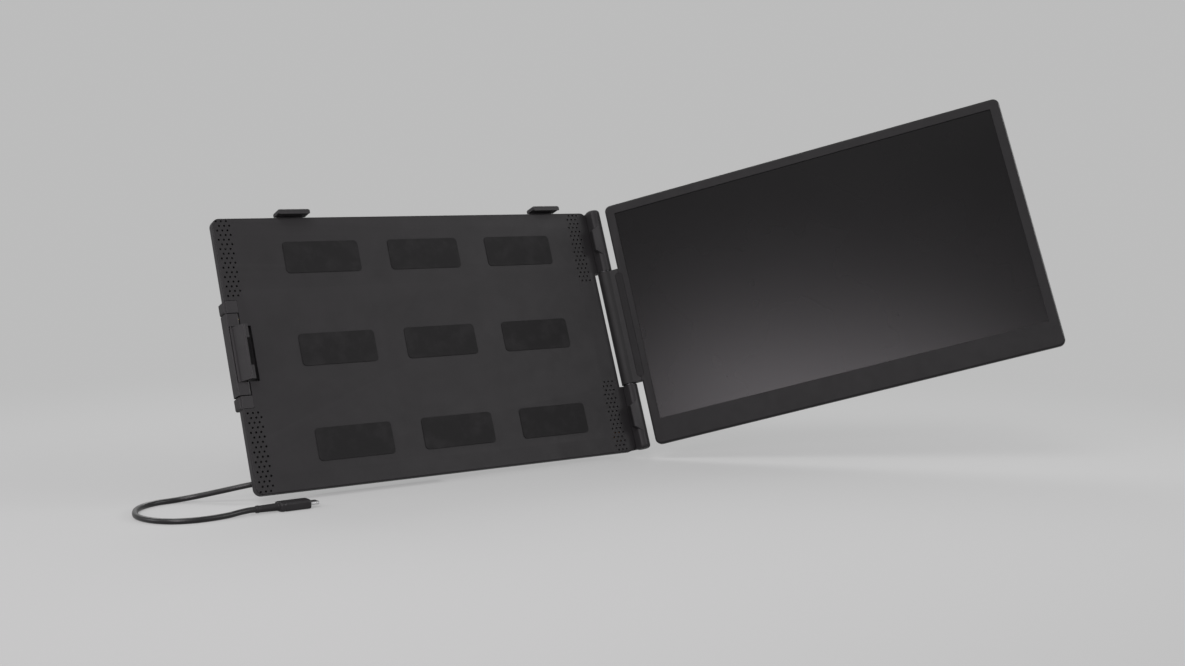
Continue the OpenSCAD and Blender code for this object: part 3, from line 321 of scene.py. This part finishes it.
CHARCOAL = (0.0190, 0.0181, 0.0190)
# front panel's charcoal: partly its own darker tone, partly painted shade standing in for the
# shade the laptop's lid casts on it
PANEL_CHARCOAL_WITH_PAINTED_SHADE = (0.0140, 0.0133, 0.0140)
BEZEL_CHARCOAL = (0.0095, 0.0091, 0.0095)
FRAME_CHARCOAL = (0.0108, 0.0103, 0.0108)
PLUG_CHARCOAL = (0.0150, 0.0144, 0.0151)
BUTTON_CHARCOAL = (0.028, 0.027, 0.028)
INLAY_BLACK = (0.0060, 0.0057, 0.0060)
RUBBER_BLACK = (0.0080, 0.0077, 0.0080)
SCREEN_FACE = (SWING.to_3x3() @ Vector((0, -1, 0))).normalized()
SCREEN_MOULD = dict(roughness=0.62, grain=3400.0, grain_depth=0.00002, variation=0.06)

# each material's kind and settings
LOOKS = {
    "housing_plastic": (moulded_plastic, dict(colour=CHARCOAL)),
    "panel_plastic": (moulded_plastic, dict(colour=PANEL_CHARCOAL_WITH_PAINTED_SHADE, roughness=0.56)),
    "bezel_plastic": (moulded_plastic, dict(colour=BEZEL_CHARCOAL, specular=0.22,
                                            **SCREEN_MOULD)),
    "frame_plastic": (moulded_plastic, dict(colour=FRAME_CHARCOAL, specular=0.15,
                                            face=SCREEN_FACE, **SCREEN_MOULD)),
    "rubber": (soft_rubber, dict(colour=RUBBER_BLACK)),
    "steel": (drawn_metal, dict(colour=(0.52, 0.52, 0.53), roughness=0.42)),
    "plated_steel": (drawn_metal, dict(colour=(0.66, 0.66, 0.67), roughness=0.20,
                                       grain=(300.0, 300.0, 1500.0))),
    "bronze": (sintered_bronze, {}),
    "display_glass": (satin_display, {}),
    "light_guide": (milky_sheet, dict(colour=(0.78, 0.78, 0.79), roughness=0.5, scale=45.0)),
    "circuit_board": (solder_mask, {}),
    "ribbon_film": (milky_sheet, dict(colour=(0.52, 0.24, 0.055), roughness=0.3, scale=300.0)),
    "cable_jacket": (jacket, {}),
    "plug_plastic": (moulded_plastic, dict(colour=PLUG_CHARCOAL, roughness=0.36, grain=3000.0,
                                           grain_depth=0.00001)),
    "screw_black": (drawn_metal, dict(colour=(0.060, 0.060, 0.063), roughness=0.40,
                                      grain=(1500.0, 1500.0, 1500.0))),
    "felt": (fibre_felt, {}),
    "button_plastic": (moulded_plastic, dict(colour=BUTTON_CHARCOAL, roughness=0.4)),
    "inlay_plastic": (moulded_plastic, dict(colour=INLAY_BLACK, roughness=0.45, grain=3400.0,
                                            grain_depth=0.00001, variation=0.05,
                                            specular=0.1)),
}
materials = {name: kind(name, **settings) for name, (kind, settings) in LOOKS.items()}


# ---------------------------------------------------------------- finishes of the CAD nodes

CREASE_ANGLE = math.radians(38)
BEVEL_ANGLE = math.radians(32)
BEVEL_SEGMENTS = 3
FLAT_ANGLE = math.radians(0.6)
WELD_DISTANCE = 2e-6
FACE_AREA_WEIGHT = 80


def node_group(name, build):
    """Geometry node group with one mesh in and one mesh out."""
    group = bpy.data.node_groups.new(name, "GeometryNodeTree")
    group.interface.new_socket("Geometry", in_out="INPUT", socket_type="NodeSocketGeometry")
    group.interface.new_socket("Geometry", in_out="OUTPUT", socket_type="NodeSocketGeometry")
    start = group.nodes.new("NodeGroupInput")
    end = group.nodes.new("NodeGroupOutput")
    group.links.new(build(group, start.outputs[0]), end.inputs[0])
    return group


def build_cleaning(group, mesh):
    """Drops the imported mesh's stored normals and shades it smooth all over."""
    drop = group.nodes.new("GeometryNodeRemoveAttribute")
    drop.inputs["Name"].default_value = "custom_normal"
    group.links.new(mesh, drop.inputs["Geometry"])
    last = drop.outputs["Geometry"]
    for domain in ("EDGE", "FACE"):
        smooth = group.nodes.new("GeometryNodeSetShadeSmooth")
        smooth.domain = domain
        group.links.new(last, smooth.inputs["Geometry"])
        last = smooth.outputs["Geometry"]
    return last


def build_creases(group, mesh):
    """Marks each edge that turns by more than the crease angle as sharp."""
    angle = group.nodes.new("GeometryNodeInputMeshEdgeAngle")
    compare = group.nodes.new("FunctionNodeCompare")
    compare.data_type = "FLOAT"
    compare.operation = "GREATER_THAN"
    group.links.new(angle.outputs["Unsigned Angle"], compare.inputs[0])
    compare.inputs[1].default_value = CREASE_ANGLE
    smooth = group.nodes.new("GeometryNodeSetShadeSmooth")
    smooth.domain = "EDGE"
    smooth.inputs["Shade Smooth"].default_value = False
    group.links.new(mesh, smooth.inputs["Geometry"])
    group.links.new(compare.outputs[0], smooth.inputs["Selection"])
    return smooth.outputs["Geometry"]


cleaning = node_group("clean_mesh", build_cleaning)
creases = node_group("mark_creases", build_creases)


def add_nodes(piece, group):
    piece.modifiers.new(group.name, "NODES").node_group = group


def shade_evenly(piece):
    """Shades a piece smooth up to its creases."""
    add_nodes(piece, creases)
    even = piece.modifiers.new("even_normals", "WEIGHTED_NORMAL")
    even.keep_sharp = True
    even.weight = FACE_AREA_WEIGHT


def finish_node(piece, width, merge_flat):
    """Cleans a CAD node's mesh, rounds its sharp edges by width and shades it evenly."""
    weld = piece.modifiers.new("weld", "WELD")
    weld.merge_threshold = WELD_DISTANCE
    add_nodes(piece, cleaning)
    if merge_flat:
        flat = piece.modifiers.new("flat_faces", "DECIMATE")
        flat.decimate_type = "DISSOLVE"
        flat.angle_limit = FLAT_ANGLE
    if width > 0:
        bevel = piece.modifiers.new("edges", "BEVEL")
        bevel.width = mm(width)
        bevel.segments = BEVEL_SEGMENTS
        bevel.limit_method = "ANGLE"
        bevel.angle_limit = BEVEL_ANGLE
        bevel.use_clamp_overlap = False
    shade_evenly(piece)


# how far the edges of a CAD node are rounded, in millimetres; the others stay as they are
EDGES = {
    "slab_tray": 0.18, "slab_front_panel": 0.12, "lid_pads": 0.2, "clamp_housing": 0.15,
    "clamp_rod_bushes": 0.1, "hinge_shaft_upper": 0.2, "hinge_shaft_lower": 0.2,
    "hub_cover": 0.2, "housing_screws": 0.1, "clamp_sleeve": 0.3, "clamp_rods": 0.2,
    "rod_collars": 0.1, "jaw_pin": 0.1, "clamp_jaw": 0.2, "jaw_pads": 0.1,
    "post_grip_pads": 0.2, "top_hook_pad_left": 0.1, "top_hook_pad_right": 0.1,
    "screen_back_cover": 0.2, "hinge_bushes": 0.1, "knuckle_inlay": 0.3,
    "screen_screws": 0.1, "power_button": 0.15, "plus_button": 0.15, "minus_button": 0.15,
    "laptop_plug_shell": 0.1, "device_plug_shell": 0.1,
}
# nodes whose faces stay as triangles, since merged faces would close their openings
AS_TRIANGLES = ("screen_bezel", "clamp_housing")
# nodes whose look differs from their slot's
OWN_LOOK = {"knuckle_inlay": "inlay_plastic", "screen_bezel": "frame_plastic"}

for part in frame["record"]["subparts"]:
    name = part["node"]
    node = nodes[name]
    node.data.materials.clear()
    node.data.materials.append(materials[OWN_LOOK.get(name, part["material_slot"])])
    finish_node(node, EDGES.get(name, 0), merge_flat=name not in AS_TRIANGLES)


# ---------------------------------------------------------------- new pieces

# edges that turn by more than the first are rounded, and those under the second are flat
SHARP_ANGLE = math.radians(40)
LEVEL_ANGLE = 0.001
ROUNDING_SEGMENTS = 3


def solid(build):
    """Object with the mesh that build makes, in millimetres."""
    work = bmesh.new()
    build(work)
    bmesh.ops.recalc_face_normals(work, faces=work.faces)
    mesh = bpy.data.meshes.new("solid")
    work.to_mesh(mesh)
    work.free()
    return new_object("solid", mesh)


def combined(base, joined=(), cut=()):
    """Mesh of one solid with others joined to it and then others cut out of it."""
    body = solid(base)
    helpers = []
    for operation, builders in (("UNION", joined), ("DIFFERENCE", cut)):
        for build in builders:
            helper = solid(build)
            helpers.append(helper)
            step = body.modifiers.new(operation, "BOOLEAN")
            step.operation = operation
            step.object = helper
            step.solver = "EXACT"
    bpy.context.view_layer.update()
    mesh = bpy.data.meshes.new_from_object(
        body.evaluated_get(bpy.context.evaluated_depsgraph_get()))
    for spent in (body, *helpers):
        bpy.data.objects.remove(spent)
    return mesh


def mesh_piece(name, mesh, place, body, slot, replaced, look=None):
    """Piece from a mesh in millimetres, put in place and carried by a body."""
    mesh.name = name
    mesh.transform(place @ Matrix.Scale(MILLIMETRE, 4))
    for face in mesh.polygons:
        face.use_smooth = True
    mesh.materials.clear()
    mesh.materials.append(materials[look or slot])
    piece = new_object(name, mesh)
    shade_evenly(piece)
    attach(piece, body)
    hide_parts(*replaced)
    return piece


def arc(cx, cy, r, start, end, steps):
    """Points on an arc, angles in degrees."""
    return [(cx + r * math.cos(math.radians(start + (end - start) * i / steps)),
             cy + r * math.sin(math.radians(start + (end - start) * i / steps)))
            for i in range(steps + 1)]


def circle(cx, cy, r, steps):
    return arc(cx, cy, r, 0, 360, steps)[:-1]


def rectangle(x0, y0, x1, y1):
    return [(x0, y0), (x1, y0), (x1, y1), (x0, y1)]


def prism(loops, low, high, along="Z"):
    """Builder of a closed solid from an outline and the holes in it, along Y or Z."""
    def build(work):
        caps = []
        for level in (low, high):
            edges = []
            for loop in loops:
                ring = [work.verts.new((u, v, level) if along == "Z" else (u, level, v))
                        for u, v in loop]
                edges += [work.edges.new((a, b)) for a, b in zip(ring, ring[1:] + ring[:1])]
            caps.append(edges)
        for lower, upper in zip(*caps):
            a, b = lower.verts
            c, d = upper.verts
            work.faces.new((a, b, d, c))
        for edges in caps:
            bmesh.ops.triangle_fill(work, use_beauty=True, use_dissolve=False, edges=edges)
        flat = [e for e in work.edges if e.is_manifold and e.calc_face_angle(0) < LEVEL_ANGLE]
        bmesh.ops.dissolve_edges(work, edges=flat, use_verts=False)
    return build


def rounded(build, width, chosen=lambda edge: True):
    """Builder that rounds a solid's sharp edges by width."""
    def build_rounded(work):
        build(work)
        bmesh.ops.recalc_face_normals(work, faces=work.faces)
        sharp = [e for e in work.edges if e.calc_face_angle(0) > SHARP_ANGLE and chosen(e)]
        bmesh.ops.bevel(work, geom=sharp, offset=width, segments=ROUNDING_SEGMENTS,
                        profile=0.5, affect="EDGES", clamp_overlap=True)
    return build_rounded


def rings_solid(rings):
    """Builder of a closed solid through rings of points."""
    def build(work):
        loops = [[work.verts.new(p) for p in ring] for ring in rings]
        count = len(loops[0])
        for near, far in zip(loops, loops[1:]):
            for i in range(count):
                j = (i + 1) % count
                work.faces.new((near[i], near[j], far[j], far[i]))
        work.faces.new(loops[0])
        work.faces.new(loops[-1])
    return build


def superellipse(half_w, half_t, power, count):
    """Rounded rectangle as points (across, up), from an ellipse at power 2 to a box."""
    points = []
    for i in range(count):
        t = 2 * math.pi * i / count
        c, s = math.cos(t), math.sin(t)
        points.append((half_w * math.copysign(abs(c) ** (2 / power), c),
                       half_t * math.copysign(abs(s) ** (2 / power), s)))
    return points


def loft(sections, count=48):
    """Builder of a solid through sections (x, half width, half thickness, power) along X."""
    return rings_solid([[(x, up, across) for across, up in
                         superellipse(half_w, half_t, power, count)]
                        for x, half_w, half_t, power in sections])


# ---------------------------------------------------------------- cable and plugs

# Route of the cable in the part's frame, in millimetres, from the socket's plug to the
# laptop's plug. The same points shape the cable's solid.
CABLE_ROUTE = [
    (-153.6, -18.1, -89.3), (-157, -18.1, -89.3), (-162.5, -17, -90), (-169.5, -14, -91.3),
    (-178, -8.5, -93.4), (-187.5, -1.5, -95.9), (-197.5, 5, -98.2), (-208.5, 8.5, -99.6),
    (-220, 7.5, -99.7), (-231, 2, -99.7), (-239.5, -7, -99.7), (-245, -18.5, -99.7),
    (-248, -31, -99.7), (-247, -43.5, -99.7), (-242.5, -54.5, -99.7), (-234.5, -63, -99.7),
    (-223.5, -67.5, -99.7), (-211, -68, -99.7), (-199, -66.5, -99.5), (-190, -64.8, -98.8),
    (-183, -64, -98.4), (-179, -64, -98.4),
]
CABLE_DIAMETER = 4.0
CABLE_STEPS = 6

DEVICE_PLUG = LEAN @ Matrix.Translation(mm(-115.6, 14.0, -90.0))
LAPTOP_PLUG = Matrix.Translation(mm(-141, -64, -98.4)) @ Matrix.Rotation(math.radians(90), 4, "X")


def smooth_route(points, steps):
    """Points on a Catmull-Rom curve through the route."""
    knots = [Vector(p) for p in points]
    padded = [2 * knots[0] - knots[1], *knots, 2 * knots[-1] - knots[-2]]
    curve = []
    for i in range(1, len(padded) - 2):
        a, b, c, d = padded[i - 1:i + 3]
        for k in range(steps):
            t = k / steps
            curve.append(0.5 * (2 * b + (c - a) * t + (2 * a - 5 * b + 4 * c - d) * t ** 2
                                + (3 * b - a - 3 * c + d) * t ** 3))
    curve.append(knots[-1])
    return curve


def make_cable():
    """Round cable along its route, and its length in metres."""
    path = smooth_route(CABLE_ROUTE, CABLE_STEPS)
    curve = bpy.data.curves.new("usb_cable_run", "CURVE")
    curve.dimensions = "3D"
    curve.bevel_depth = mm(CABLE_DIAMETER / 2)
    curve.bevel_resolution = 8
    curve.use_fill_caps = True
    spline = curve.splines.new("POLY")
    spline.points.add(len(path) - 1)
    for point, place in zip(spline.points, path):
        point.co = (*mm(*place), 1)
    spline.use_smooth = True
    curve.materials.append(materials["cable_jacket"])
    cable = new_object("usb_cable_run", curve)
    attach(cable, "bracket")
    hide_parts("usb_cable")
    length = sum((b - a).length for a, b in zip(path, path[1:]))
    return cable, mm(length)


# Moulded plug body with eased ends and a grip groove near the cable
PLUG_BODY = loft([
    (0, 5.5, 2.8, 4.6), (-0.15, 5.75, 3.05, 4.6), (-0.5, 5.93, 3.23, 4.6), (-1.0, 6.0, 3.3, 4.6),
    (-17.6, 6.0, 3.3, 4.6), (-18.0, 5.95, 3.26, 4.6), (-18.25, 5.75, 3.08, 4.6),
    (-18.85, 5.75, 3.08, 4.6), (-19.1, 5.92, 3.24, 4.6), (-19.5, 5.96, 3.28, 4.6),
    (-20.9, 5.85, 3.22, 4.4), (-21.6, 5.55, 3.05, 4.0), (-22.0, 4.9, 2.75, 3.6)])

# Bend relief: a slim sleeve with a small collar where the cable comes out
BEND_RELIEF = loft([
    (-21.8, 3.3, 2.75, 2.6), (-22.4, 3.15, 2.72, 2.4), (-23.2, 2.85, 2.66, 2.1),
    (-26.0, 2.68, 2.60, 2.0), (-33.5, 2.42, 2.42, 2.0), (-35.4, 2.38, 2.38, 2.0),
    (-35.6, 2.52, 2.52, 2.0), (-35.9, 2.58, 2.58, 2.0), (-37.1, 2.56, 2.56, 2.0),
    (-37.6, 2.46, 2.46, 2.0), (-37.9, 2.28, 2.28, 2.0), (-38.0, 2.05, 2.05, 2.0)], count=40)


cable, cable_length = make_cable()
for end, place in (("laptop", LAPTOP_PLUG), ("device", DEVICE_PLUG)):
    mesh_piece(end + "_plug_moulding", combined(PLUG_BODY), place, "bracket",
                                  "plug_plastic", [end + "_plug_body"])
    mesh_piece(end + "_bend_relief", combined(BEND_RELIEF), place, "bracket",
                                  "cable_jacket", [end + "_strain_relief"],
                                  look="plug_plastic")


# ---------------------------------------------------------------- hinge

POST_R = 6.0
POST_TOP = 101.0
KNUCKLE_HALF = 47.4
POST_START = KNUCKLE_HALF + 0.8
# how far a bore's cutter runs past the face that it opens
OVERCUT = 1
SAME_HEIGHT = 0.001


def knuckle_outline():
    """Barrel that flows into the screen's tab with a soft hollow in front and behind."""
    front, rear, end = -4.0, 3.0, 11.4
    front_fillet, rear_fillet = 1.8, 1.2
    front_x = math.sqrt((POST_R + front_fillet) ** 2 - (front_fillet - front) ** 2)
    rear_x = math.sqrt((POST_R + rear_fillet) ** 2 - (rear + rear_fillet) ** 2)
    front_turn = math.degrees(math.atan2(front - front_fillet, front_x))
    rear_turn = math.degrees(math.atan2(rear + rear_fillet, rear_x))
    outline = [(end, rear)]
    outline += arc(rear_x, rear + rear_fillet, rear_fillet, 270, 180 + rear_turn, 6)
    outline += arc(0, 0, POST_R, rear_turn, 360 + front_turn, 64)[1:]
    outline += arc(front_x, front - front_fillet, front_fillet, 180 + front_turn, 90, 8)[1:]
    outline.append((end, front))
    return outline


def at_ends(edge):
    """True for an edge round the top or the bottom of the knuckle."""
    return all(abs(abs(v.co.z) - KNUCKLE_HALF) < SAME_HEIGHT for v in edge.verts)


def make_knuckle():
    """Turning barrel and tab, with the flange behind the screen and the trim strip's seat."""
    bore_r, end_ease = 4.02, 0.3
    flange_start, flange_end, flange_half, flange_depth = 10.5, 35.5, 44.0, 2.05
    screw_x, screw_r, screw_heights = 25.5, 0.9, (-36, -14, 14, 36)
    strip_x, strip_r, strip_half = 11.5, 2.95, 44.05
    seat_front, seat_floor = -5, -2.95

    barrel = prism([knuckle_outline()], -KNUCKLE_HALF, KNUCKLE_HALF)
    screw_holes = [arc(screw_x, z, screw_r, 360, 0, 16)[:-1] for z in screw_heights]
    flange = [rectangle(flange_start, -flange_half, flange_end, flange_half), *screw_holes]
    bore = prism([circle(0, 0, bore_r, 64)], -KNUCKLE_HALF - OVERCUT, KNUCKLE_HALF + OVERCUT)
    seat = (arc(strip_x, strip_half - strip_r, strip_r, 0, 180, 24)
            + arc(strip_x, strip_r - strip_half, strip_r, 180, 360, 24))
    mesh = combined(rounded(barrel, end_ease, chosen=at_ends),
                    joined=[prism(flange, 0, flange_depth, "Y")],
                    cut=[bore, prism([seat], seat_front, seat_floor, "Y")])
    mesh_piece("knuckle_barrel", mesh, SWING, "screen", "housing_plastic", ["hinge_knuckle"],
               look="bezel_plastic")


def post_ring(z, inset):
    """Section of the post: round, with a flat towards the lid and an eased corner beside it."""
    count, flat, sharpness, facing, flat_share = 96, 4.4, 26, 0.05, 0.45
    ring = []
    for i in range(count):
        turn = 2 * math.pi * (i + 0.5) / count
        reach = POST_R - inset
        towards_flat = -math.cos(turn)
        if towards_flat > facing:
            to_flat = (flat - flat_share * inset) / towards_flat
            reach = (reach ** -sharpness + to_flat ** -sharpness) ** (-1 / sharpness)
        ring.append((HINGE_X + reach * math.cos(turn), HINGE_Y + reach * math.sin(turn), z))
    return ring


def make_post(name, lower=False):
    """Fixed half of the post with its hook, the web to the housing and the root in it."""
    dome, dome_steps, foot, foot_step = 2.5, 8, 0.3, 0.09
    hook_z, hook_front, hook_back, hook_ease = 74.3, -8.5, -5.6, 0.5
    hook_tip_x, hook_root_half, hook_tip_half = 153.9, 13.35, 8.5
    web_x, web_ease, web_end = 157.05, 0.4, POST_TOP - 1
    root_low, root_high = 50, 99.0
    bore_r, bore_end = 2.52, 92.2

    rings = [post_ring(POST_START, foot), post_ring(POST_START + foot_step, foot_step),
             post_ring(POST_START + foot, 0)]
    for i in range(dome_steps + 1):
        turn = math.radians(90 * i / dome_steps)
        rings.append(post_ring(POST_TOP - dome + dome * math.sin(turn),
                               dome * (1 - math.cos(turn))))
    hook = [(HINGE_X, hook_z - hook_root_half), (HINGE_X, hook_z + hook_root_half),
            (hook_tip_x, hook_z + hook_tip_half), (hook_tip_x, hook_z - hook_tip_half)]
    web = [(web_x, 0.5), (HINGE_X, 0.5), (163.2, 3.1), (web_x, 7.8)]
    root = rectangle(149.2, 1.75, 158, 7.35)
    bore = circle(HINGE_X, HINGE_Y, bore_r, 48)
    mesh = combined(
        rings_solid(rings),
        joined=[rounded(prism([hook], hook_front, hook_back, "Y"), hook_ease),
                rounded(prism([web], POST_START, web_end), web_ease),
                prism([root], root_low, root_high)],
        cut=[prism([bore], POST_START - OVERCUT, bore_end)])
    if lower:
        mesh.transform(Matrix.Scale(-1, 4, (0, 0, 1)))
        mesh.flip_normals()
    mesh_piece(name + "_shell", mesh, LEAN, "bracket", "housing_plastic", [name])


make_knuckle()
make_post("post_upper")
make_post("post_lower", lower=True)


# ---------------------------------------------------------------- top hooks

# How far the hook's ends draw its profile in. Each row is a level, the farthest pull on a
# point past that level, and the distance past it that has this pull, in millimetres.
DRAWN_UP, DRAWN_DOWN = (102.4, 0.8, 0.9), (104, 1.3, 1.6)
DRAWN_BACK, DRAWN_FORWARD = (-5.2, 0.35, 0.8), (3.8, 0.8, 1.6)


def hook_profile():
    """Arm over the lid's top edge with a lip in front of it, as (y, z) points."""
    return (arc(-5.6, 101.9, 0.4, 180, 270, 5)
            + arc(-5.45, 101.75, 0.25, 270, 360, 4)
            + arc(-4.9, 102.1, 0.3, 180, 90, 4)
            + arc(4.7, 103.1, 0.7, 270, 360, 5)
            + arc(4.0, 104.2, 1.4, 0, 90, 8)
            + arc(-4.4, 104.0, 1.6, 90, 180, 10))


def drawn_in(value, low, high, amount):
    """Value pulled back by an amount from 0 to 1 where it is past the low or high level."""
    if low[0] <= value <= high[0]:
        return value
    level, pull, distance = low if value < low[0] else high
    return value - amount * pull * (value - level) / distance


def hook_arm(centre_x):
    """Rings of the arm and lip across the hook, with every corner eased at both ends."""
    half, ease, side_rings = 12.35, 1.5, 10
    rings = []
    for i in range(-side_rings, side_rings + 1):
        turn = math.radians(90 * (abs(i) - 1) / (side_rings - 1)) if i else 0
        across = math.copysign(half - ease + ease * math.sin(turn), i) if i else 0
        amount = 1 - math.cos(turn)
        rings.append([(centre_x + across, drawn_in(y, DRAWN_BACK, DRAWN_FORWARD, amount),
                       drawn_in(z, DRAWN_UP, DRAWN_DOWN, amount)) for y, z in hook_profile()])
    return rings_solid(rings)


def make_hook(name, centre_x):
    """Hook with the windowed leg that slides in the housing."""
    bottom, top, half = 59.2, 104, 10
    window_half, window_low, window_high = 5, bottom + 5, bottom + 15
    leg_front, leg_back, leg_ease = 3.0, 5.35, 0.4
    leg = [rectangle(centre_x - half, bottom, centre_x + half, top),
           rectangle(centre_x - window_half, window_low, centre_x + window_half, window_high)]
    mesh = combined(hook_arm(centre_x),
                    joined=[rounded(prism(leg, leg_front, leg_back, "Y"), leg_ease)])
    mesh_piece(name + "_shell", mesh, LEAN, name, "housing_plastic", [name])


make_hook("top_hook_left", -103.7)
make_hook("top_hook_right", 115.5)


# ---------------------------------------------------------------- stage

TABLE_Z = -0.1017
FLOOR_HALF = 40.0
BACKDROP = 0.505
FLOOR = 0.37
# the floor fades into the backdrop over these distances from the middle, in metres, from
# this share of the backdrop
FADE_START, FADE_END, NEAR_SHARE = 0.35, 0.9, 0.62
WORLD_LIGHT = (0.62, 0.62, 0.63, 1)
WORLD_STRENGTH = 0.75

# name, place, target, width and height in metres, watts, and the colour if it isn't white
LAMPS = (
    ("key_light", (-1.3, -0.9, 2.3), (0.1, 0, 0), 1.6, 1.2, 42),
    ("fill_light", (1.9, -1.5, 1.0), (0.15, -0.05, 0), 2.0, 0.6, 26),
    ("side_light", (-1.7, 0.45, 0.5), (-0.1, 0, 0), 0.8, 0.8, 9),
    ("edge_light", (0.90, -0.61, 0.39), (0.39, -0.24, 0.09), 0.3, 0.3, 3.5),
    ("rim_light", (0.4, 1.6, 1.5), (0.1, 0, 0.05), 2.0, 0.8, 30),
    ("display_glow", (-0.894, -0.979, 0.40), (0.26, -0.14, -0.05), 0.6, 0.25, 10,
     (1.0, 0.93, 0.98)),
)


def seen_directly(tree):
    """1 for rays that see the backdrop itself, in a camera, a reflection or through glass."""
    path = tree.nodes.new("ShaderNodeLightPath")
    last = path.outputs["Is Camera Ray"]
    for name in ("Is Glossy Ray", "Is Transmission Ray"):
        either = tree.nodes.new("ShaderNodeMath")
        either.operation = "MAXIMUM"
        tree.links.new(last, either.inputs[0])
        tree.links.new(path.outputs[name], either.inputs[1])
        last = either.outputs[0]
    return last


def make_floor():
    """Pale floor that fades into the backdrop's grey and takes the object's shadow."""
    material, graph = new_graph("studio_floor")
    diffuse = graph.add("ShaderNodeBsdfDiffuse", {"Color": (FLOOR, FLOOR, FLOOR, 1)})
    glow = graph.add("ShaderNodeEmission", {"Color": (BACKDROP, BACKDROP, BACKDROP, 1),
                                            "Strength": 1.0})
    reach = graph.add("ShaderNodeVectorMath", {0: graph.coordinates}, operation="LENGTH")
    far = graph.add("ShaderNodeMapRange", {0: reach.outputs["Value"], 1: FADE_START,
                                           2: FADE_END, 3: NEAR_SHARE, 4: 1.0},
                    interpolation_type="SMOOTHSTEP")
    share = graph.math("MULTIPLY", seen_directly(graph.tree), far.outputs[0])
    mixed = graph.add("ShaderNodeMixShader", {0: share, 1: diffuse.outputs[0],
                                              2: glow.outputs[0]})
    graph.tree.links.new(mixed.outputs[0], graph.output.inputs["Surface"])
    mesh = bpy.data.meshes.new("studio_floor")
    corners = rectangle(-FLOOR_HALF, -FLOOR_HALF, FLOOR_HALF, FLOOR_HALF)
    mesh.from_pydata([(x, y, TABLE_Z) for x, y in corners], [], [(0, 1, 2, 3)])
    mesh.materials.append(material)
    floor = new_object("studio_floor", mesh)


def make_world():
    """World that lights the scene softly and is seen as one even studio grey."""
    world = bpy.data.worlds.new("studio")
    bpy.context.scene.world = world
    world.use_nodes = True
    tree = world.node_tree
    tree.nodes.clear()
    output = tree.nodes.new("ShaderNodeOutputWorld")
    light = tree.nodes.new("ShaderNodeBackground")
    light.inputs["Color"].default_value = WORLD_LIGHT
    light.inputs["Strength"].default_value = WORLD_STRENGTH
    plain = tree.nodes.new("ShaderNodeBackground")
    plain.inputs["Color"].default_value = (BACKDROP, BACKDROP, BACKDROP, 1)
    mix = tree.nodes.new("ShaderNodeMixShader")
    tree.links.new(seen_directly(tree), mix.inputs[0])
    tree.links.new(light.outputs[0], mix.inputs[1])
    tree.links.new(plain.outputs[0], mix.inputs[2])
    tree.links.new(mix.outputs[0], output.inputs["Surface"])


def area_light(name, place, target, width, height, watts, colour=(1, 1, 1)):
    """Rectangular lamp that points at its target."""
    data = bpy.data.lights.new(name, "AREA")
    data.shape = "RECTANGLE"
    data.size = width
    data.size_y = height
    data.energy = watts
    data.color = colour
    lamp = new_object(name, data)
    lamp.location = place
    aim = Vector(target) - Vector(place)
    lamp.rotation_euler = aim.to_track_quat("-Z", "Y").to_euler()


make_floor()
make_world()
for lamp in LAMPS:
    area_light(*lamp)

bpy.context.scene.view_settings.view_transform = "Standard"
